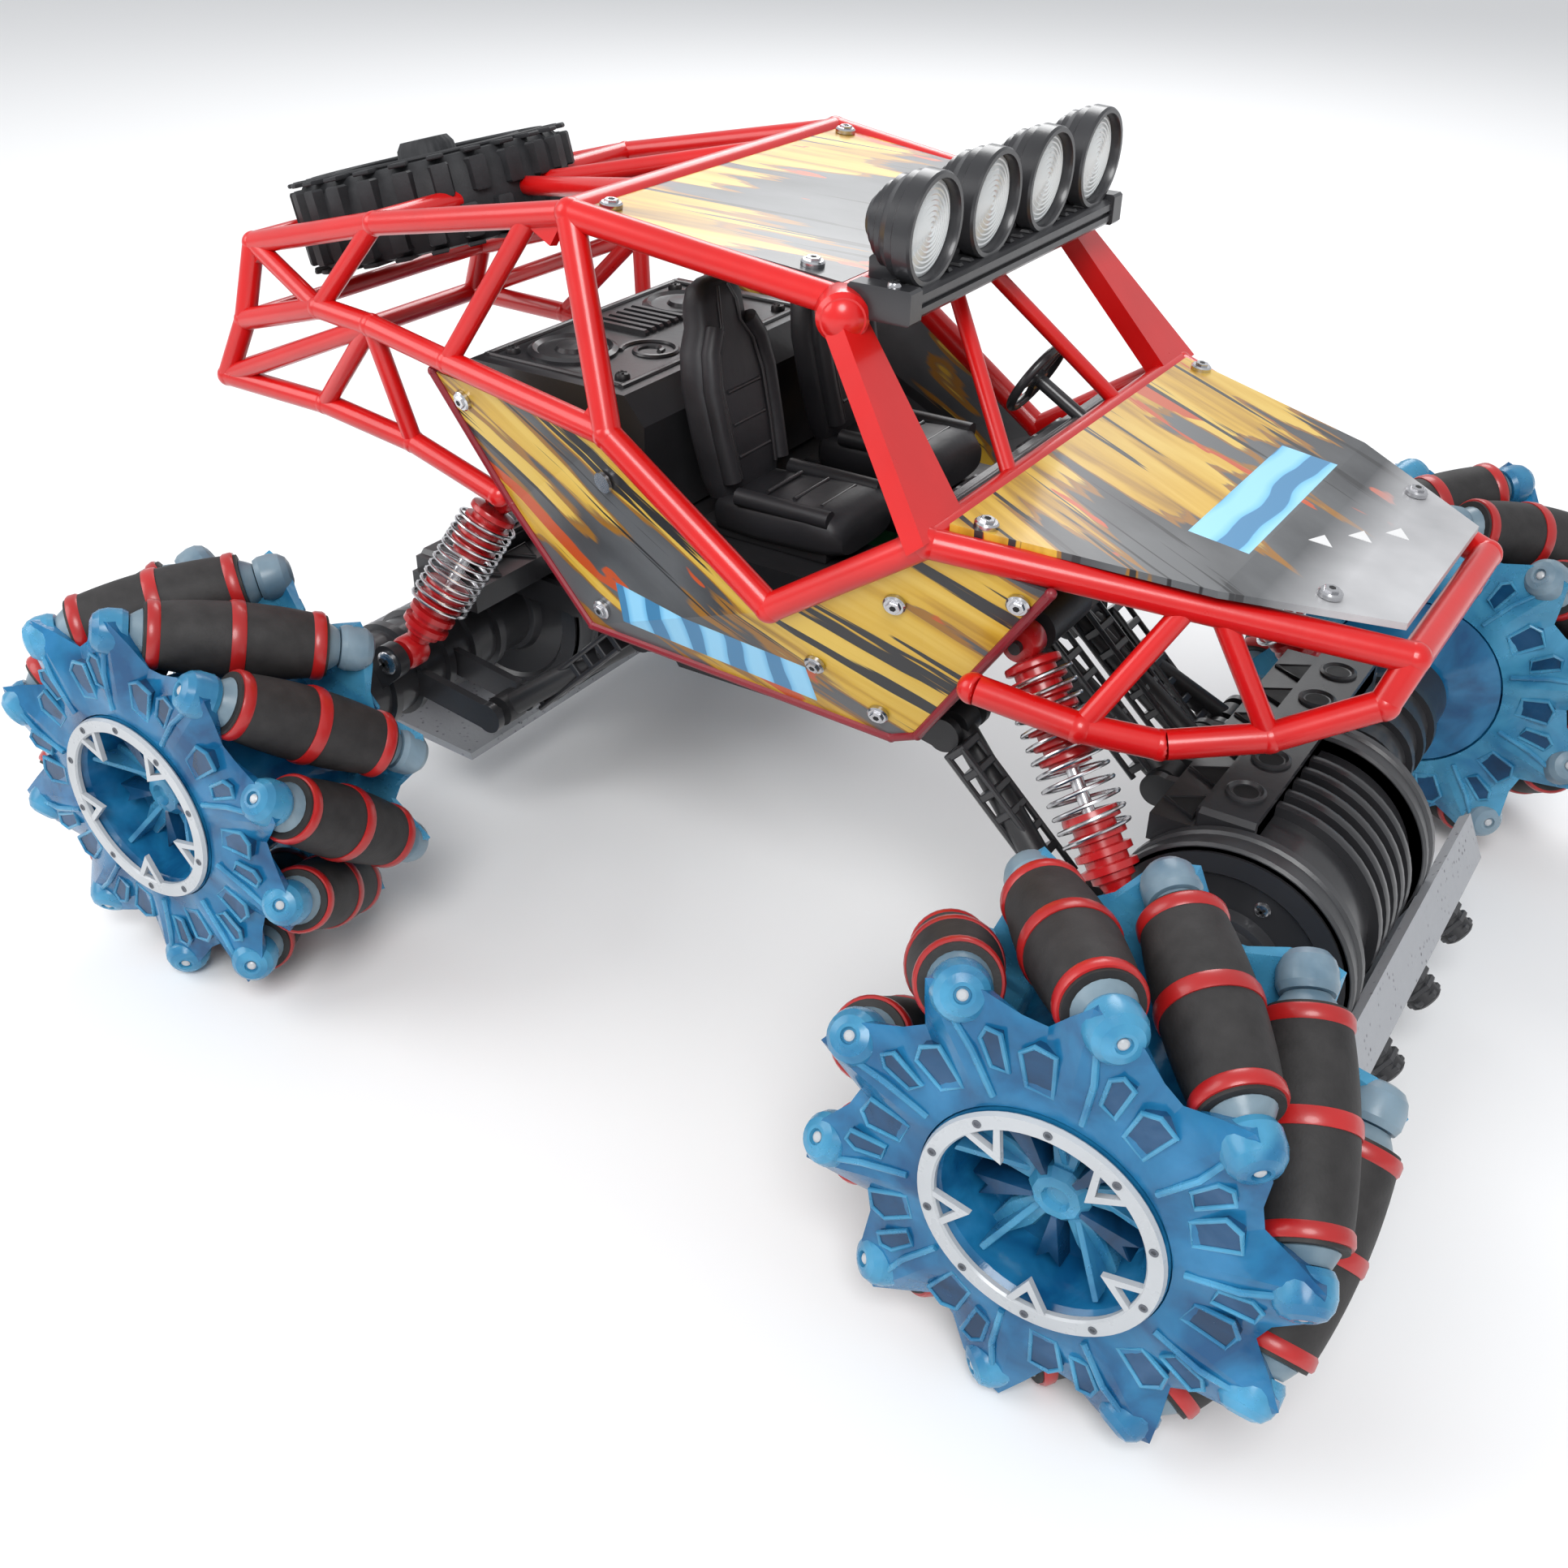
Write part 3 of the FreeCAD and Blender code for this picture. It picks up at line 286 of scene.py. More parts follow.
class Form:
    """One mesh piece collected from simple closed parts, each with its own material."""

    def __init__(self):
        self.bm = bmesh.new()
        self.looks = []

    def look(self, name):
        if name not in self.looks:
            self.looks.append(name)
        return self.looks.index(name)

    def rings(self, rings, look, closed_ends=True, loop=False):
        """A skin through rings of points, each with the same count."""
        index = self.look(look)
        rows = [[self.bm.verts.new(p) for p in ring] for ring in rings]
        pairs = list(zip(rows, rows[1:] + (rows[:1] if loop else [])))
        if not loop:
            pairs = pairs[:len(rows) - 1]
        for a, b in pairs:
            for k in range(len(a)):
                m = (k + 1) % len(a)
                self.face((a[k], a[m], b[m], b[k]), index)
        if closed_ends and not loop:
            self.face(rows[0][::-1], index)
            self.face(rows[-1], index)

    def face(self, corners, index):
        made = self.bm.faces.new(corners)
        made.material_index = index
        made.smooth = True

    def lathe(self, profile, place, look, steps=40, wobble=None):
        """Turns (radius, height) points about the local Z of a placement."""
        rings = []
        for r, h in profile:
            ring = []
            for k in range(steps):
                a = TAU * k / steps
                reach = r * (wobble(a, h) if wobble else 1)
                ring.append(place @ Vector((reach * math.cos(a), reach * math.sin(a), h)))
            rings.append(ring)
        self.rings(rings, look)

    def tube(self, points, radius, look, steps=12, loop=False):
        """Round bar along a list of points, with a frame carried from point to point."""
        points = [Vector(p) for p in points]
        count = len(points)
        rings, side = [], None
        for k, p in enumerate(points):
            before = points[k - 1] if (k or loop) else p
            after = points[(k + 1) % count] if (k < count - 1 or loop) else p
            run = (after - before).normalized()
            if side is None:
                side = run.orthogonal().normalized()
            side = (side - run * side.dot(run)).normalized()
            up = run.cross(side)
            rings.append([p + (side * math.cos(TAU * m / steps) + up * math.sin(TAU * m / steps)) * radius
                          for m in range(steps)])
        self.rings(rings, look, loop=loop)

    def prism(self, outline, depth, place, look, bevel=0.0):
        """A flat outline raised along local Z, its two rims drawn in by a bevel."""
        centre = Vector((sum(p[0] for p in outline), sum(p[1] for p in outline))) / len(outline)

        def ring(height, inset):
            points = []
            for x, y in outline:
                away = Vector((x, y)) - centre
                scale = max(0.0, 1 - inset / max(away.length, 1e-6))
                corner = centre + away * scale
                points.append(place @ Vector((*corner, height)))
            return points
        if bevel:
            self.rings([ring(0, bevel), ring(bevel, 0), ring(depth - bevel, 0), ring(depth, bevel)], look)
        else:
            self.rings([ring(0, 0), ring(depth, 0)], look)

    def block(self, low, high, look, bevel=0.0006):
        """Box between two corners with bevelled top and bottom rims."""
        (x0, y0, z0), (x1, y1, z1) = low, high
        place = Matrix.Translation((0, 0, z0))
        self.prism([(x0, y0), (x1, y0), (x1, y1), (x0, y1)], z1 - z0, place, look, bevel)

    def dome(self, centre, radius, look, squash=1.0, steps=20, axis=Vector((0, 0, 1))):
        """Closed rounded button about an axis."""
        place = Matrix.Translation(centre) @ axis.to_track_quat("Z", "Y").to_matrix().to_4x4()
        profile = [(radius * math.cos(t), radius * squash * math.sin(t))
                   for t in [math.radians(a) for a in range(-80, 81, 20)]]
        self.lathe(profile, place, look, steps)

    def done(self, name, body, replaces=(), slot=None, sharp=32, stretch=None):
        """Makes the object on its body, or, when stretch is given, leaves it on no body with its
        placement baked in; the other body, start and end in stretch are not used.
        """
        bmesh.ops.recalc_face_normals(self.bm, faces=self.bm.faces)
        limit = math.radians(sharp)
        for edge in self.bm.edges:
            if edge.is_manifold and edge.calc_face_angle(0) > limit:
                edge.smooth = False
        mesh = bpy.data.meshes.new(name)
        self.bm.to_mesh(mesh)
        self.bm.free()
        for look in self.looks:
            mesh.materials.append(M[look])
        made = bpy.data.objects.new(name, mesh)
        bpy.context.scene.collection.objects.link(made)
        if stretch:
            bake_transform(made)
        else:
            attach(made, body)
        if replaces:
            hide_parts(*replaces)
        return made


def mm(*points):
    """Points given in millimetres, in metres."""
    return [tuple(c * MM for c in point) for point in points]


def point_mm(x, y, z):
    """One point given in millimetres."""
    return Vector((x * MM, y * MM, z * MM))


def lift(height):
    """Shift along local Z."""
    return Matrix.Translation((0, 0, height))


def turned(angle):
    """Turn about local Z."""
    return Matrix.Rotation(angle, 4, "Z")


def axis_frame(origin, z, x=None):
    """Placement with local Z along z, and local X near x."""
    z = Vector(z).normalized()
    x = Vector(x) if x else z.orthogonal()
    x = (x - z * x.dot(z)).normalized()
    y = z.cross(x)
    turn = Matrix((x, y, z)).transposed().to_4x4()
    return Matrix.Translation(origin) @ turn


def circle(radius, steps, start=0.0):
    return [(radius * math.cos(start + TAU * k / steps), radius * math.sin(start + TAU * k / steps))
            for k in range(steps)]


# ---------------------------------------------------------------- wheels

COUNT = 10
SKEW = math.radians(40)
WHEEL_R = 54 * MM
SPINE_R = 44 * MM
ROLLER_HALF = 21.5 * MM
RIM_Z = 26 * MM
PHASE = {"front": math.radians(31.7), "rear": math.radians(32.8)}


def wheel_place(end, side):
    centre = Vector(JOINTS["%s_%s_wheel_spin" % (end, side)]["pos_m"])
    return centre, Vector((0, SIDES[side], 0))


def roller_frames(end, side):
    """Placements of the ten rollers of one wheel, local Z along each roller axis, outward."""
    centre, outward = wheel_place(end, side)
    lean = -ENDS[end]
    made = []
    for k in range(COUNT):
        turn = PHASE[end] + TAU / COUNT * k
        radial = Vector((math.cos(turn), 0, math.sin(turn)))
        around = Vector((-math.sin(turn), 0, math.cos(turn)))
        along = around * (lean * math.sin(SKEW)) + outward * math.cos(SKEW)
        made.append(axis_frame(centre + radial * SPINE_R, along, radial))
    return made


def roller_profile(h):
    """Radius of the barrel at a height along its axis, from the wheel's own round outline."""
    reach = math.sqrt(max(0.0, WHEEL_R ** 2 - (h * math.sin(SKEW)) ** 2))
    return reach - SPINE_R


def add_roller(form, place):
    """Barrel of rubber in two halves, three raised bands and two frosted end cones."""
    steps = 16
    body = [ROLLER_HALF * (2 * k / steps - 1) for k in range(steps + 1)]
    form.lathe([(roller_profile(h) - 0.5 * MM, h) for h in body], place, "rubber", 36)
    for middle, half, proud in ((-ROLLER_HALF + 2.2 * MM, 1.5 * MM, 0.1), (0, 1.7 * MM, 0.0),
                                (ROLLER_HALF - 2.2 * MM, 1.5 * MM, 0.1)):
        edge = roller_profile(middle)
        form.lathe([(edge - 2 * MM, middle - half), (edge - 0.25 * MM, middle - half),
                    (edge + proud * MM, middle - half * 0.6), (edge + proud * MM, middle + half * 0.6),
                    (edge - 0.25 * MM, middle + half), (edge - 2 * MM, middle + half)],
                   place, "band", 36)
    for sign in (-1, 1):
        tip = ROLLER_HALF * sign
        outline = [(5.8, -0.4), (6.2, 0.2), (5.4, 1.6), (4.5, 3.0), (2.0, 3.15)]
        form.lathe([(r * MM, tip + sign * h * MM) for r, h in outline], place, "cone", 24)


def pin_ends(end, side, sign):
    """Where the roller pins leave the outer or inner rim of the hub, and their direction there."""
    reach = (RIM_Z - 2 * MM) / math.cos(SKEW)
    for place in roller_frames(end, side):
        along = place.col[2].xyz
        yield place.translation + along * (sign * reach), along * sign


def hub(end, side):
    """Clear hub: two toothed plates with pin bosses, a grooved barrel, the dish and the cap."""
    centre, outward = wheel_place(end, side)
    to_wheel = axis_frame(centre, outward, (1, 0, 0))
    back = to_wheel.inverted()
    form = Form()
    lean = -ENDS[end] * SIDES[side]
    for sign, plate_look, boss_look in ((-1, "blue_light", "cone"), (1, "blue", "blue_light")):
        angles = []
        for point, along in pin_ends(end, side, sign):
            local = back @ point
            angles.append(math.atan2(local.y, local.x))
            boss = axis_frame(point, along) @ lift(-6.5 * MM)
            form.lathe(mm((3, 0), (5.2, 0), (5.8, 1.4), (5.8, 4.5), (5.2, 6.5), (4, 8), (2.4, 8.6),
                          (1.7, 8.6), (1.5, 7.8), (0.3, 7.8)), boss, boss_look, 24)
            form.lathe(mm((1.1, 7.1), (1.1, 8.2), (0.7, 8.45), (0.1, 8.5)), boss, "trim", 18)
        toothed_plate(form, to_wheel, sorted(angles), sign, plate_look, lean * sign)
    # barrel between the two plates, with deep grooves under the rollers
    wall = [(25.2, -24), (29, -21), (27.5, -12), (25.8, 0), (27.5, 12), (29, 21), (26, 24), (24, 22),
            (24, -22)]
    steps, rings = 60, []
    for r, h in wall:
        waved = []
        for k, (x, y) in enumerate(circle(r * MM, steps)):
            wave = 1 + 0.02 * math.cos(COUNT * k * TAU / steps)
            waved.append(to_wheel @ Vector((x * wave, y * wave, h * MM)))
        rings.append(waved)
    form.rings(rings, "blue", loop=True)
    dish(form, to_wheel)
    inner_cap(form, to_wheel)
    wheel = "%s_%s_wheel" % (end, side)
    form.done("%s_%s_hub_shell" % (end, side), wheel, [wheel + "_hub"], "blue_clear", sharp=20)


def toothed_plate(form, to_wheel, angles, sign, look, lean):
    """Ten wedge-shaped teeth as one closed star plate with sloping facets."""
    pitch = math.copysign(TAU / COUNT, lean)
    # steps through one tooth: share of the pitch, outer radius, height drop at the rim
    tooth = ((-0.34, 43.6, 3.6), (-0.14, 48.6, 2.2), (0.04, 51.6, 1.0), (0.18, 52.6, 0.5),
             (0.31, 47.6, 2.2), (0.48, 42.2, 3.9))
    rings = [[] for _ in range(6)]
    for angle in angles:
        for share, reach, drop in (tooth if lean > 0 else tooth[::-1]):
            ray = to_wheel @ turned(angle + share * pitch)
            crest = 1 if 0 <= share <= 0.2 else 0
            stations = ((25.6, 25.4), (30.5, 25.9 - 0.9 * (1 - crest)),
                        (reach * 0.83, 25.8 - drop * 0.55 + 0.2 * crest), (reach, 25.4 - drop),
                        (reach - 1.2, 20.9), (27, 17.5))
            for ring, (radius, height) in zip(rings, stations):
                ring.append(ray @ point_mm(radius, 0, sign * height))
    form.rings(rings, look, closed_ends=False, loop=True)
    # painted shade: dark pockets between the teeth, drawn as thin deep blue prisms; painted highlights:
    # bright rims round the pockets and a bright ridge up each tooth
    for angle in angles:
        for shift, low_r, high_r, wide, height in ((0, 29.5, 38.5, 3.4, 25.2), (0.36, 33, 41, 2.2, 25.6)):
            turn = to_wheel @ turned(angle + (0.5 + shift) * pitch)
            outline = [(low_r, -wide * 0.8), (high_r, -wide), (high_r + 1, wide * 0.2),
                       (high_r - 1, wide), (low_r + 1, wide * 0.7)]
            place = turn @ lift(sign * (height - 3) * MM)
            if sign < 0:
                place = place @ Matrix.Rotation(math.pi, 4, "X")
            form.prism(mm(*outline), 2.6 * MM, place, "blue_deep", 0.2 * MM)
            highlight_rim = [place @ point_mm(x, y, 2.5) for x, y in outline]
            form.tube(highlight_rim, 0.55 * MM, "blue_light", 8, loop=True)
        highlight_ridge = [to_wheel @ turned(angle + t) @ point_mm(r, 0, sign * h)
                 for t, r, h in ((0.0, 28, 25.8), (0.02 * lean, 38, 26.0), (0.08 * lean, 49.5, 25.2))]
        form.tube(highlight_ridge, 0.7 * MM, "blue_light", 8)


def dish(form, to_wheel):
    """Deep outer dish with a floor, five split spokes and spiky ribs."""
    floor = 13.5
    form.lathe(mm((25.3, 12), (25.3, 25.6), (22.6, 25.6), (21.4, 24), (18.5, floor), (17, floor),
                  (2, 12.4), (2, 11), (18, 11)), to_wheel, "blue", 60)
    for k in range(5):
        spoke, between = (to_wheel @ turned(TAU * (k + share) / 5) @ lift((floor - 1) * MM)
                          for share in (0.25, 0.75))
        blade = mm((3, -1.6), (12, -3.4), (19.5, -2.2), (21, 0), (19.5, 2.2), (12, 3.4), (3, 1.6))
        form.prism(blade, 4 * MM, spoke, "blue_light", 0.5 * MM)
        web = mm((3, 0), (3, 2), (12, 6.5), (20.4, 10.6), (20.6, 0))
        upright = spoke @ Matrix.Translation((0, 0.7 * MM, 0)) @ Matrix.Rotation(TAU / 4, 4, "X")
        form.prism(web, 1.4 * MM, upright, "blue_light", 0.2 * MM)
        spike = mm((5, -0.6), (17.5, -2.6), (15, 0), (17.5, 2.6), (5, 0.6))
        form.prism(spike, 6 * MM, between, "blue_deep", 0.4 * MM)
    form.lathe(mm((6.5, 12), (6.5, 17), (5, 18.6), (3, 19), (2.4, 17.6), (0.4, 17.6)), to_wheel,
               "blue_light", 10)


def inner_cap(form, to_wheel):
    """Rounded inner hub cap around the shaft."""
    form.lathe(mm((25, -22), (25, -25.2), (20, -27), (13, -30), (8, -31.5), (3, -31.5), (2.4, -34),
                  (0.3, -34)),
               to_wheel, "blue", 40, lambda a, h: 1 + (0.05 * math.cos(COUNT * a) if h < -0.026 else 0))


def trim_ring(end, side):
    """Flat ring with five hollow pointed tabs and small round marks."""
    name = "%s_%s_trim_ring" % (end, side)
    centre, outward = wheel_place(end, side)
    to_wheel = axis_frame(centre, outward, (1, 0, 0))
    low = RIM_Z
    high = low + 1.5 * MM
    form = Form()
    inner, outer = 21.4 * MM, 25.2 * MM
    profile = [(inner, low), (outer - 0.3 * MM, low), (outer, low + 0.5 * MM), (outer - 0.4 * MM, high),
               (inner + 0.4 * MM, high), (inner, high - 0.5 * MM)]
    form.rings([[to_wheel @ Vector((x, y, h)) for x, y in circle(r, 72)] for r, h in profile], "trim",
               loop=True)
    for k in range(5):
        turn = to_wheel @ turned(math.radians(54) + TAU * k / 5)
        tip, base, half = 14.5 * MM, 21.8 * MM, 4.4 * MM
        for sign in (-1, 1):
            bar = [(tip - 0.4 * MM, 0), (base, sign * half), (base, sign * (half - 1.5 * MM)),
                   (tip + 2.6 * MM, 0)]
            form.prism(bar, 1.3 * MM, turn @ lift(low + 0.1 * MM), "trim")
    for k in range(COUNT):
        a = TAU * (k + 0.5) / COUNT
        mark = to_wheel @ Matrix.Translation((23.3 * MM * math.cos(a), 23.3 * MM * math.sin(a),
                                              high - 0.2 * MM))
        form.lathe(mm((0.9, 0), (0.9, 0.35), (0.5, 0.35), (0.45, 0.2)),
                   mark, "mark", 14)
    form.done(name + "_face", "%s_%s_wheel" % (end, side), [name], "silver_trim")


for end in ENDS:
    for side in SIDES:
        hub(end, side)
        trim_ring(end, side)
        wheel = "%s_%s" % (end, side)
        if wheel == "front_right":
            for number, place in enumerate(roller_frames(end, side), start=1):
                form = Form()
                add_roller(form, place)
                node = "%s_roller_%02d" % (wheel, number)
                form.done(node + "_barrel", node, [node], "roller_rubber")
        else:
            form = Form()
            for place in roller_frames(end, side):
                add_roller(form, place)
            form.done(wheel + "_roller_barrels", wheel + "_wheel", [wheel + "_rollers"],
                      "roller_rubber")

# ---------------------------------------------------------------- shocks


COIL_R = 7.9 * MM


def shock_line(end, side):
    """Upper and lower eye of one shock."""
    y = SIDES[side]
    if end == "front":
        top, foot = (72, 50, 114.5), (109.6, 67, 67)
    else:
        top, foot = (-86, 44, 109.7), (-104.5, 67, 67)
    return [Vector((x * MM, y * w * MM, z * MM)) for x, w, z in (top, foot)]


def shock(end, side):
    """Ribbed cup, ribbed foot with the rod, and the coil of one shock."""
    top, foot = shock_line(end, side)
    length = (foot - top).length
    place = axis_frame(top, foot - top, (0, 1, 0))
    upper, lower = Form(), Form()
    cup = [(2.6, 4)]
    ribs = 7 if end == "front" else 4
    for k in range(ribs):
        z = 5 + 3.6 * k
        cup += [(6.4, z), (6.6, z + 0.4), (6.6, z + 1.5), (6.2, z + 1.8), (4.9, z + 2), (4.9, z + 3.5)]
    upper.lathe(mm(*cup, (2.4, 5.4 + 3.6 * ribs)), place, "shock_red", 32)
    eye(upper, top, 4.6 * MM, "shock_red")
    base = length - 21 * MM
    seat = [(2.2, -1), (6.4, -1)]
    for k in range(4):
        z = 3.8 * k
        seat += [(6.6, z), (6.6, z + 1.6), (5, z + 2), (5, z + 3.4)]
    lower.lathe(mm(*seat, (3.8, 15.4), (3.2, 17)), place @ lift(base), "shock_red", 32)
    lower.lathe([(1.55 * MM, 16 * MM), (1.6 * MM, 17 * MM), (1.6 * MM, base)], place, "steel", 16)
    eye(lower, foot, 4.8 * MM, "shock_red")
    cap_screw(lower, foot + Vector((0, SIDES[side] * 9.3 * MM, 0)), Vector((0, SIDES[side], 0)), 3.4 * MM)
    spring = Form()
    turns, steps, points = 12, 26, []
    first, last = 8 * MM, length - 15 * MM
    for k in range(turns * steps + 1):
        t = k / (turns * steps)
        a = TAU * turns * t
        points.append(place @ Vector((COIL_R * math.cos(a), COIL_R * math.sin(a),
                                      first + (last - first) * t)))
    spring.tube(points, 0.5 * MM, "steel", 8)
    return upper, lower, spring


def eye(form, centre, radius, look):
    """Rounded eye across the car."""
    place = axis_frame(centre, (0, 1, 0))
    shoulder = radius - 0.6 * MM
    form.lathe([(1.8 * MM, -3.4 * MM), (shoulder, -3.4 * MM), (radius, -2.4 * MM), (radius, 2.4 * MM),
                (shoulder, 3.4 * MM), (1.8 * MM, 3.4 * MM)], place, look, 28)


def cap_screw(form, base, outward, radius, look="screw"):
    """Domed screw head standing on a surface, its cross recess drawn as a raised dark cross: painted
    shade.
    """
    place = axis_frame(base, outward)
    form.lathe([(radius, -0.8 * MM), (radius, 0.3 * MM), (radius * 0.82, 0.9 * MM),
                (radius * 0.5, 1.2 * MM), (radius * 0.08, 1.25 * MM)], place, look, 24)
    for turn in (0, math.pi / 2):
        arm = place @ turned(turn)
        half, wide = radius * 0.58, radius * 0.16
        form.prism([(-half, -wide), (half, -wide), (half, wide), (-half, wide)], 0.5 * MM,
                   arm @ lift(0.85 * MM), "hole_painted_shade")


for end in ENDS:
    for side in SIDES:
        upper, lower, spring = shock(end, side)
        upper.done("%s_shock_cup_%s" % (end, side), end + "_shock_upper", [end + "_shock_bodies"],
                   "shock_red")
        lower.done("%s_shock_foot_%s" % (end, side), end + "_shock_lower", [end + "_shock_rods"],
                   "shock_red")
        spring.done("%s_shock_coil_%s" % (end, side), end + "_shock_upper", [end + "_shock_springs"],
                    "spring_steel", stretch=(end + "_shock_lower", *shock_line(end, side)))

# ---------------------------------------------------------------- cabin


def cushion(form, sections, look, steps=28, power=3.2):
    """Rounded body through (centre, x axis, y axis) sections, each a squared-off oval."""
    rings = []
    for centre, wide, deep in sections:
        ring = []
        for k in range(steps):
            a = TAU * k / steps
            c, s = math.cos(a), math.sin(a)
            u = math.copysign(abs(c) ** (2 / power), c)
            v = math.copysign(abs(s) ** (2 / power), s)
            ring.append(Vector(centre) + Vector(wide) * u + Vector(deep) * v)
        rings.append(ring)
    form.rings(rings, look)


SEAT_Y = 25 * MM


def seat(side):
    """High-back seat: crowned base, waisted back with bolsters, sewn channels and piping."""
    y = SIDES[side] * SEAT_Y
    form = Form()
    base_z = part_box("seats")[0].z
    # base cushion from rear to front
    sections = []
    for x, half, z, thick in ((-22, 11, 118, 4), (-20, 13.4, 118.4, 6), (-8, 14.2, 118.6, 6.2),
                              (6, 14.6, 119.4, 6.4), (13, 14.2, 119.6, 6.2), (16.5, 12, 118.4, 4)):
        sections.append(((x * MM, y, z * MM), (0, half * MM, 0), (0, 0, thick * MM)))
    cushion(form, sections, "seat")
    # back from the base to the head, leaning to the rear
    back = ((122, -20.5, 12.0, 4.2), (127, -21.5, 13.4, 5.4), (138, -24.0, 14.2, 5.6),
            (150, -26.6, 14.6, 5.4), (158, -28.2, 13.0, 5.0), (163, -29.2, 9.6, 4.6),
            (168, -30.0, 9.2, 4.4), (172, -30.6, 7.6, 3.4), (173.6, -30.8, 4.4, 1.6))
    sections = [((x * MM, y, z * MM), (0, half * MM, 0), (thick * MM, 0, thick * 0.22 * MM))
                for z, x, half, thick in back]
    cushion(form, sections, "seat")
    for sign in (-1, 1):
        bolster = [(x + 5.0, sign * (half - 2.6), z) for z, x, half, _ in back[1:6]]
        form.tube([(x * MM, y + w * MM, z * MM) for x, w, z in bolster], 2.4 * MM, "seat", 12)
        thigh = [(x, sign * 12.2, 124.2) for x in (-14, -4, 6, 13)]
        form.tube([(x * MM, y + w * MM, z * MM) for x, w, z in thigh], 2.3 * MM, "seat", 12)
        piping = [(x + thick + 0.2, sign * (half - 5.6), z) for z, x, half, thick in back[1:8]]
        form.tube([(x * MM, y + w * MM, z * MM) for x, w, z in piping], 0.55 * MM, "black_satin", 8)
    for z, x in ((132, -17.2), (140, -18.9), (148, -20.6)):
        form.tube([((x - 0.1) * MM, y + w * MM, z * MM) for w in (-7, 0, 7)], 0.6 * MM, "black_satin", 8)
    for x in (-8, 0, 8):
        form.tube([(x * MM, y + w * MM, 125.3 * MM) for w in (-8, 0, 8)], 0.6 * MM, "black_satin", 8)
    for w in (-4, 4):
        form.tube([(-29.5 * MM, y + w * MM, 160 * MM), (-29.5 * MM, y + w * MM, 165 * MM)], 0.8 * MM,
                  "black_satin", 8)
    form.block((-26 * MM, y - 12 * MM, base_z), (12 * MM, y + 12 * MM, base_z + 3.4 * MM), "black")
    form.done("seat_" + side, "chassis", ["seats"], "black_plastic", sharp=50)


for side in SIDES:
    seat(side)


def spiral(form, centre, radius, look, turns=1.6, rise=0.0):
    """Raised spiral line on a flat top."""
    steps = 44
    points = []
    for k in range(steps + 1):
        t = k / steps
        a = TAU * turns * t
        r = radius * (0.25 + 0.75 * t)
        points.append(centre + Vector((r * math.cos(a), r * math.sin(a), rise)))
    form.tube(points, 0.9 * MM, look, 8)


def deck_details():
    """Round covers, two spirals, slats, a frame of rails and screws on the rear deck moulding."""
    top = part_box("rear_deck")[1].z
    form = Form()
    for y in (-26, 24):
        centre = Vector((-74 * MM, y * MM, top))
        form.lathe(mm((12, -1), (12, 0.8), (10.6, 1.5), (9.4, 0.7), (5, 0.7), (4.2, 1.7), (0.5, 1.9)),
                   Matrix.Translation(centre), "black_satin", 36)
    spiral(form, Vector((-57 * MM, -14 * MM, top)), 8.5 * MM, "black_satin")
    spiral(form, Vector((-56 * MM, 16 * MM, top)), 7.5 * MM, "black_satin")
    for k in range(6):
        y = (-5 + 3.4 * k) * MM
        form.block((-84 * MM, y, top - 0.6 * MM), (-66 * MM, y + 1.7 * MM, top + 1.4 * MM), "black_satin")
    for x in (-90, -46):
        form.tube([(x * MM, y * MM, top) for y in (-42, 0, 42)], 1.0 * MM, "black_satin", 10)
    for y in (-41, 41):
        form.tube([(x * MM, y * MM, top) for x in (-90, -68, -46)], 1.0 * MM, "black_satin", 10)
    for x, y in ((-86, -36), (-86, 36), (-50, -36), (-50, 36)):
        cap_screw(form, Vector((x * MM, y * MM, top + 0.5 * MM)), (0, 0, 1), 2.0 * MM, "black")
    form.done("rear_deck_details", "chassis", slot="black_plastic")


def dash_details():
    """Instrument hood, dials, vents and a centre console on the dashboard."""
    form = Form()
    face = Vector((-0.67, 0, 0.74))
    for y, r in ((27, 5.2), (16, 3.4), (-27, 4.2), (-16, 3.0)):
        place = axis_frame(point_mm(39.5, y, 132.6), face)
        form.lathe([(r * MM, -1.5 * MM), (r * MM, 1.0 * MM), ((r - 0.5) * MM, 1.5 * MM),
                    ((r - 1.0) * MM, 0.9 * MM), (0.6 * MM, 0.9 * MM), (0.3 * MM, 1.3 * MM)], place,
                   "black_satin", 28)
    for k in range(5):
        y = (-7 + 3.2 * k) * MM
        form.tube([(38 * MM, y, 131.2 * MM), (42.8 * MM, y, 136.4 * MM)], 0.7 * MM, "black", 8)
    form.tube([(48 * MM, y * MM, 137.8 * MM) for y in (-46, -20, 0, 20, 46)], 1.6 * MM, "black_satin", 12)
    form.block((-20 * MM, -6 * MM, 112.0 * MM), (30 * MM, 6 * MM, 118 * MM), "black", 1.2 * MM)
    form.tube([(14 * MM, 0, 118 * MM), (11 * MM, 0, 128 * MM)], 1.0 * MM, "black_satin", 10)
    form.dome(Vector((10.6 * MM, 0, 129.4 * MM)), 2.4 * MM, "black_satin")
    form.done("dashboard_details", "chassis", slot="black_plastic")


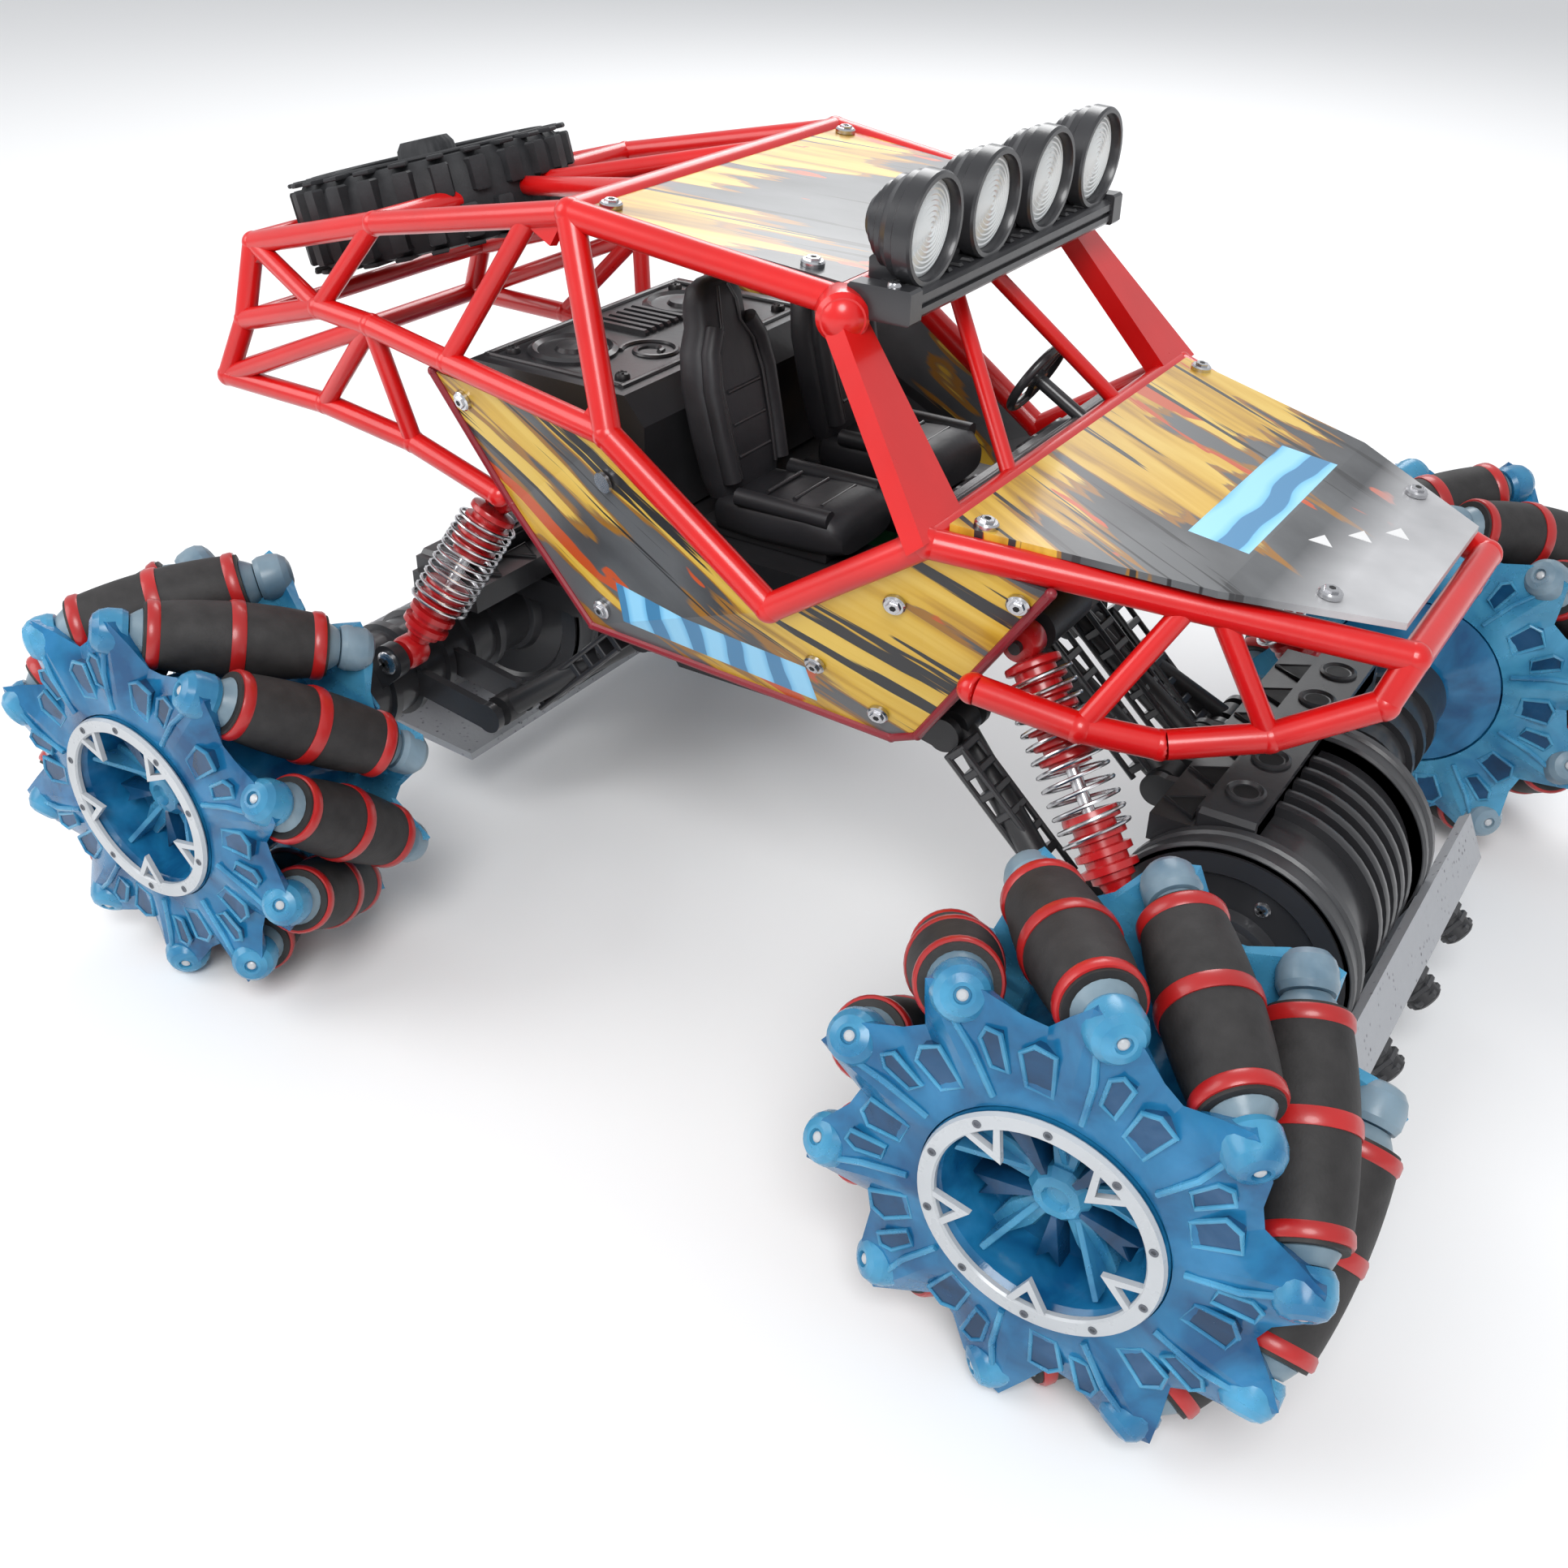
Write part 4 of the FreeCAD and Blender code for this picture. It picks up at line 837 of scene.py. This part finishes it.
def lamps():
    """Four round lamps: ribbed cone, stepped bezel, clip foot and a textured lens with rings."""
    aim = Vector((1, 0, -0.06))
    for number, y in enumerate((-42.5, -14.2, 14.2, 42.5)):
        place = axis_frame(point_mm(25, y, 199), aim, (0, 0, 1))
        form = Form()
        shell = [(0.5, 0.2), (4.6, 0.2), (5.2, 1.2), (6.4, 1.8), (6.4, 2.6), (8.2, 3.4), (8.2, 4.4),
                 (9.8, 5.4), (9.8, 6.6), (11.2, 8.6), (11.2, 10.2), (12.0, 10.8), (12.0, 14.4),
                 (11.6, 15.0), (10.6, 15.0), (10.2, 14.2), (10.2, 11.6), (0.5, 11.6)]
        form.lathe(mm(*shell), place, "black_satin", 40)
        foot = Matrix.Translation((30.5 * MM, y * MM, 186.6 * MM))
        form.lathe(mm((4.6, 0), (4.6, 1.2), (3.6, 2), (3.2, 4), (3.8, 6)), foot, "black_satin", 24)
        for sign in (-1, 1):
            form.block((27 * MM, (y + sign * 4.4 - 1) * MM, 187.2 * MM),
                       (34 * MM, (y + sign * 4.4 + 1) * MM, 192.4 * MM), "black_satin")
        form.done("lamp_shell_%d" % number, "chassis", ["lamp_housings"], "black_plastic")
        lens = Form()
        crown = [(10.1 * MM, 11.5 * MM)]
        for k in range(9):
            r = 10.1 - 1.1 * k
            lift = 12.6 + 0.9 * (1 - (r / 10.1) ** 2)
            crown += [(r * MM, lift * MM), ((r - 0.75) * MM, (lift + 0.28) * MM)]
        lens.lathe(crown + [(0.2 * MM, 13.6 * MM)], place, "lens", 40)
        lens.done("lamp_lens_%d" % number, "chassis", ["lamp_lenses"], "lamp_lens", sharp=12)


def light_bar():
    """Grooved bar across the car with stepped end brackets and a row of slots below the lamps."""
    low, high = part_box("light_bar")
    section = [(27, 184.4), (30.2, 181.2), (40.2, 181.2), (40.8, 182), (40.8, 183.4), (39.9, 183.7),
               (39.9, 184.3), (40.8, 184.6), (40.8, 186.2), (39.9, 186.6), (39.3, 187.0),
               (30.4, 187.7), (29.2, 187.2)]
    form = Form()
    rows = []
    for y in (low.y + 2 * MM, high.y - 2 * MM):
        rows.append([Vector((x * MM, y, z * MM)) for x, z in section])
    form.rings(rows, "black_satin")
    for sign in (-1, 1):
        end = high.y if sign > 0 else low.y
        inner, outer = sorted((end - sign * 5 * MM, end))
        form.block((26 * MM, inner, 180.8 * MM), (41.4 * MM, outer, 188.2 * MM), "black_satin")
        cap_screw(form, Vector((36 * MM, end - sign * 2.5 * MM, 188.1 * MM)), (0, 0, 1), 1.6 * MM)
    for k in range(20):
        y = (-47.5 + 5 * k) * MM
        form.block((36 * MM, y - 0.9 * MM, 186.8 * MM), (38.8 * MM, y + 0.9 * MM, 187.9 * MM), "black")
    form.done("light_bar_profile", "chassis", ["light_bar"], "black_plastic")


def spare():
    """Tyre lying in the rack, with wavy sides, slanted lugs and a raised hub."""
    slope = math.atan2(179 - 164.5, -115 + 170)
    place = Matrix.Translation((-142 * MM, 0, 172 * MM)) @ Matrix.Rotation(-slope, 4, "Y")
    form = Form()
    body = [(8, -6), (22, -6.2), (24.5, -11.4), (30, -12), (35.2, -11.2), (37.6, -8), (38.0, 0),
            (37.6, 8), (35.2, 11.2), (30, 12), (24.5, 11.4), (23, 9), (20, 8.6), (10, 8.6), (8.6, 9.2),
            (8, 14), (6.6, 16), (0.6, 16)]
    form.lathe(mm(*body), place, "tyre", 96,
               lambda a, h: 1 + 0.012 * math.cos(24 * a) * (abs(h) > 0.007))
    for k in range(24):
        for sign in (-1, 1):
            turn = place @ turned(TAU * (k + 0.25 * sign) / 24)
            lug = [(27, -1.4), (39.4, -3.0), (39.8, 0.2), (39.4, 1.6), (27.5, 1.2)]
            start = (11.0 if sign > 0 else -12.1) * MM
            form.prism(mm(*lug), 1.1 * MM,
                       turn @ lift(start), "tyre", 0.3 * MM)
            tread = [(37, -3.2), (40, -2.6), (40, 1.8), (37, 2.4)]
            start = (1.2 if sign > 0 else -9.8) * MM
            form.prism(mm(*tread), 8.6 * MM,
                       turn @ lift(start), "tyre", 0.5 * MM)
    for r in (26, 33):
        form.tube([place @ Vector((r * MM * c, r * MM * s, 12 * MM)) for c, s in circle(1, 72)],
                  0.5 * MM, "tyre", 8, loop=True)
    for k in range(6):
        turn = place @ turned(TAU * k / 6)
        form.prism(mm((9, -2.4), (22, -1.6), (22, 1.6), (9, 2.4)),
                   2.2 * MM, turn @ lift(8.2 * MM), "tyre", 0.5 * MM)
    form.done("spare_tyre_lugs", "chassis", ["spare_wheel"], "spare_tyre", sharp=40)


def islands(node):
    """Separate connected parts of a node's mesh, as lists of points."""
    mesh = frame["nodes"][node].data
    parent = {}

    def find(a):
        while parent[a] != a:
            parent[a] = parent[parent[a]]
            a = parent[a]
        return a
    keys = {}
    for v in mesh.vertices:
        key = tuple(round(c, 6) for c in v.co)
        keys[v.index] = key
        parent.setdefault(key, key)
    for poly in mesh.polygons:
        first = find(keys[poly.vertices[0]])
        for v in poly.vertices[1:]:
            parent[find(keys[v])] = first
    groups = {}
    for key in parent:
        groups.setdefault(find(key), []).append(Vector(key))
    return [groups[k] for k in sorted(groups)]


def panel_screws():
    """A hex flange screw in place of each plain head, facing away from its panel."""
    form = Form()
    for points in islands("panel_screws"):
        centre = sum(points, Vector()) / len(points)
        best = None
        for face in ((0.14, 0, 1), (0, 1, 0), (0, -1, 0), (0, 0.93, -0.37), (0, -0.93, -0.37),
                     (0, 0.84, 0.54), (0, -0.84, 0.54)):
            axis = Vector(face).normalized()
            along = [(p - centre).dot(axis) for p in points]
            spread = max(along) - min(along)
            if best is None or spread < best[0]:
                best = (spread, axis)
        axis = flat_normal(points, centre, best[1])
        along = [(p - centre).dot(axis) for p in points]
        place = axis_frame(centre + axis * max(along), axis)
        form.lathe(mm((2.7, -1.3), (2.7, -0.4), (2.3, 0)), place, "screw", 24)
        form.prism(circle(1.75 * MM, 6), 0.8 * MM, place @ lift(-0.2 * MM), "screw",
                   0.15 * MM)
        # a thin dark hexagon on the head: painted shade of its hex socket
        form.prism(circle(0.8 * MM, 6), 0.3 * MM, place @ lift(0.35 * MM),
                   "hole_painted_shade")
    form.done("panel_screw_heads", "chassis", ["panel_screws"], "screw_steel")


def flat_normal(points, centre, guess):
    """Axis of a flat round head: the direction its points spread least along."""
    axis = guess.copy()
    for _ in range(60):
        pull = Vector()
        for p in points:
            arm = p - centre
            pull += arm * arm.dot(axis)
        axis = (axis - pull * 60000 / len(points)).normalized()
    return axis if axis.dot(guess) > 0 else -axis


deck_details()
dash_details()
lamps()
light_bar()
spare()
panel_screws()

# ---------------------------------------------------------------- axles


def axle_details(end):
    """Long pad with round dimples, rings with bright edges, fins, plugs and bolts on one axle."""
    out = ENDS[end]
    middle = Vector(JOINTS[end + "_right_wheel_spin"]["pos_m"])
    x, z = middle.x, middle.z
    near = (-55 if end == "front" else -46) * MM
    far, inside = 10 * MM, 23
    form = Form()

    def across(start, finish, profile, look, steps=56):
        """Lathe along the car's width; start and finish run from the wheel on the barrel's side."""
        place = axis_frame(Vector((x, start * out, z)), (0, out if finish > start else -out, 0),
                           (1, 0, 0))
        form.lathe(profile, place, look, steps)
    ring = mm((inside, 0), (29.3, 0), (29.9, 0.7), (29.9, 2.4), (29.2, 3), (29.2, 5.6), (29.9, 6.2),
              (29.9, 8.2), (29.2, 9), (inside, 9))
    across(near - 2 * MM, far, ring, "grey_black")
    across(far - 9 * MM, far + 1 * MM, ring, "grey_black")
    fin = mm((inside + 2, 0), (28.4, 0.2), (28.7, 0.9), (28.7, 2.4), (28.4, 3.2), (inside + 2, 3.4))
    for k in range(5):
        across(near + (21.6 + 6 * k) * MM, far + 50 * MM, fin, "black_satin")
    # end caps: stepped discs with a recess
    cap = mm((28, 0), (28.4, 1.6), (24, 2.4), (23, 1.2), (15, 1.2), (14, 3.6), (12.8, 4.2))
    across(near - 1.6 * MM, near - 50 * MM, cap, "black_satin")
    across(far - 0.4 * MM, far + 40 * MM, cap, "black_satin")
    # bolts round the outer cap
    for k in range(8):
        a = TAU * (k + 0.5) / 8
        base = Vector((x + 19 * MM * math.cos(a), (near - 2.6 * MM) * out, z + 19 * MM * math.sin(a)))
        cap_screw(form, base, (0, -out, 0), 1.9 * MM)
    # ribbed sleeve of the narrower tube toward the other wheel
    sleeve = mm((12, 0), (14.2, 0.4), (14.2, 3.0), (12, 3.4))
    for k in range(5):
        across(far + (16 + 11 * k) * MM, far + 90 * MM, sleeve, "black_satin", 36)
    # long pad with five round dimples, each holding a thin dark disc as painted shade
    top = z + 26 * MM
    low_y, high_y = sorted((-48 * out * MM, 44 * out * MM))
    form.block((min(x, x - 13 * out * MM), low_y, top - 2 * MM),
               (max(x, x - 13 * out * MM), high_y, top + 5.2 * MM), "black_satin", 1.2 * MM)
    for k in range(5):
        y = low_y + (high_y - low_y) * (k + 0.7) / 5.4
        place = Matrix.Translation((x - 6.5 * out * MM, y, top + 4.8 * MM))
        form.lathe(mm((4.6, 0), (4.6, 1.0), (3.9, 1.4), (3.3, 0.7), (0.4, 0.5)), place, "grey_black", 28)
        place = Matrix.Translation((x - 6.5 * out * MM, y, top + 5.35 * MM))
        form.lathe(mm((3.1, 0), (3.1, 0.12), (0.3, 0.14)), place, "hole_painted_shade", 24)
    # deck toward the links with triangular recesses, each a thin dark triangle as painted shade inside a
    # raised rim
    for k in range(6):
        y = low_y + (high_y - low_y) * (k + 0.5) / 6
        base = x - 15 * out * MM
        wedge = [(base, y - 5 * MM), (base - 8 * out * MM, y), (base, y + 5 * MM)]
        form.prism(wedge, 0.5 * MM, lift(z + 26.1 * MM), "hole_painted_shade")
        form.tube([(p[0], p[1], z + 26.3 * MM) for p in wedge], 0.7 * MM, "black_satin", 8, loop=True)
    form.done(end + "_axle_details", end + "_axle", slot="black_plastic", sharp=28)


def skid_details(end):
    """Ribbed hexagonal knobs on the outer edge of one skid plate."""
    out = ENDS[end]
    middle = Vector(JOINTS[end + "_right_wheel_spin"]["pos_m"])
    form = Form()
    for k in range(4):
        y = out * (-80 + 14 + 32 * k) * MM
        base = Vector((middle.x + out * 31 * MM, y, middle.z - 26 * MM))
        place = axis_frame(base, (out * 0.8, 0, -0.6), (0, 1, 0))
        for start, radius in ((2.2, 5.4), (4.8, 5.0), (7.2, 4.7)):
            form.prism(circle(radius * MM, 6), 1.8 * MM, place @ lift(start * MM), "black_satin",
                       0.4 * MM)
        form.lathe(mm((4.2, 1), (4.2, 9.2), (3.4, 9.8), (0.4, 9.8)), place, "black", 20)
    form.done(end + "_skid_knobs", end + "_axle", slot="black_plastic")


def link_details(node, body, name):
    """Ladder of raised bars and two pairs of rails along each link of one pair."""
    form = Form()
    for points in islands(node):
        low = min(points, key=lambda p: p.z)
        high = max(points, key=lambda p: p.z)
        middle_y = sum(p.y for p in points) / len(points)
        start, finish = Vector((low.x, middle_y, low.z)), Vector((high.x, middle_y, high.z))
        run = (finish - start).normalized()
        length = (finish - start).length
        place = axis_frame(start, run, (0, 1, 0))
        for k in range(7):
            at = 9 * MM + (length - 18 * MM) * k / 6
            bar = mm((-3.9, -3.3), (3.9, -3.3), (3.9, 3.3), (-3.9, 3.3))
            form.prism(bar, 2.0 * MM, place @ lift(at), "black_satin", 0.3 * MM)
        for x, y in mm((-3.5, -2.6), (-3.5, 2.6), (3.5, -2.6), (3.5, 2.6)):
            rail = [place @ Vector((x, y, h)) for h in (8 * MM, length - 8 * MM)]
            form.tube(rail, 0.8 * MM, "black_satin", 8)
    form.done(name, body, slot="black_plastic")


for end in ENDS:
    axle_details(end)
    skid_details(end)
    link_details(end + "_lower_links", end + "_lower_arms", end + "_lower_link_ladders")
    link_details(end + "_upper_links", end + "_upper_arms", end + "_upper_link_ladders")

# ---------------------------------------------------------------- cage details


def cage_details():
    """Corner knobs, filled gussets and the thin dark red rim under each side panel."""
    form = Form()
    for sign in (-1, 1):
        def at(x, y, z):
            return point_mm(x, sign * y, z)
        knob = axis_frame(at(25.6, 56, 181.3), (0.5, sign * 0.75, -0.1))
        form.lathe(mm((4.8, -5), (5.8, -3), (5.8, 2), (5.0, 3.2), (2.6, 3.4), (2.2, 2.4), (0.3, 2.4)),
                   knob, "red", 28)
        # gussets: thin webs in the corners of the frames
        for corners in (((-46, 58, 192.5), (-62, 56.2, 188.7), (-51, 58.5, 184.5)),
                        ((-27.4, 71, 147.7), (-36.5, 69.4, 148.3), (-31, 68.8, 156)),
                        ((-170, 45, 164.5), (-159, 47, 167.5), (-170.6, 46, 157)),
                        ((57, 71, 142.2), (50, 71, 137.4), (54.6, 69.2, 145.6)),
                        ((22.6, 54, 183.3), (12, 54.6, 184.6), (26, 55.8, 179.4))):
            points = [at(*c) for c in corners]
            normal = (points[1] - points[0]).cross(points[2] - points[0]).normalized() * 1.1 * MM
            form.rings([[p - normal for p in points], [p + normal for p in points]], "red")
        rim = ((-92, 60, 147.5), (-74, 54, 113.6), (-49, 54, 85.4), (42, 54, 81.3), (49, 54, 84.2),
               (83, 64, 134.6))
        form.tube([at(*p) for p in rim], 1.25 * MM, "rim", 10)
        for corner in rim:
            form.dome(at(*corner), 1.35 * MM, "rim", steps=12)
    form.done("cage_knobs_and_rims", "chassis", slot="red_cage")


cage_details()


def hood_marks():
    """Three small white triangles printed on the hood's light front part."""
    form = Form()
    for x, y in ((123, -10), (129, 0), (135, 9)):
        z = 137 + 1.6 - (x - 114) * 0.188
        place = axis_frame(point_mm(x, y, z), (0.185, 0, 0.983), (1, 0, 0))
        form.prism(mm((-2.6, -2.4), (2.6, -1.2), (-0.6, 3.0)), 0.12 * MM, place,
                   "white")
    form.done("hood_print_marks", "chassis", slot="panel_graphic")


hood_marks()

# ---------------------------------------------------------------- finish

world = bpy.data.worlds.new("studio")
bpy.context.scene.world = world
world.use_nodes = True
world.node_tree.nodes["Background"].inputs[0].default_value = (0.95, 0.97, 1.0, 1)
world.node_tree.nodes["Background"].inputs[1].default_value = 0.7


def area_light(name, place, target, size, power):
    lamp = bpy.data.lights.new(name, "AREA")
    lamp.shape, lamp.size, lamp.energy = "DISK", size, power
    made = bpy.data.objects.new(name, lamp)
    bpy.context.scene.collection.objects.link(made)
    made.location = place
    made.rotation_mode = "QUATERNION"
    made.rotation_quaternion = (Vector(target) - Vector(place)).to_track_quat("-Z", "Y")


area_light("key", (0.5, -0.9, 1.1), (0, 0, 0.1), 0.7, 13)
area_light("fill", (-0.9, -0.7, 0.8), (0, 0, 0.1), 0.9, 6)
area_light("back", (-0.5, 1.0, 1.0), (0, 0, 0.1), 0.8, 8)

floor_mesh = bpy.data.meshes.new("floor")
floor_mesh.from_pydata([(x, y, -0.0004) for x, y in ((-3, -3), (3, -3), (3, 3), (-3, 3))], [],
                       [(0, 1, 2, 3)])
floor_material = Nodes("pale_floor").set(Roughness=0.8, Base_Color=(0.86, 0.86, 0.86, 1)).material
floor_mesh.materials.append(floor_material)
floor = bpy.data.objects.new("floor", floor_mesh)
bpy.context.scene.collection.objects.link(floor)

camera_data = bpy.data.cameras.new("camera")
camera_data.lens, camera_data.sensor_width = 38.2, 36
camera_data.clip_start, camera_data.clip_end = 0.01, 20
camera = bpy.data.objects.new("camera", camera_data)
bpy.context.scene.collection.objects.link(camera)
right, up, behind = ((0.84001, 0.54240, 0.01368), (-0.30042, 0.44397, 0.84418),
                     (0.45181, -0.71322, 0.53589))
camera.matrix_world = Matrix.Translation((0.20487, -0.35907, 0.28631)) @ Matrix(
    (right, up, behind)).transposed().to_4x4()
bpy.context.scene.camera = camera
bpy.context.scene.view_settings.view_transform = "Standard"
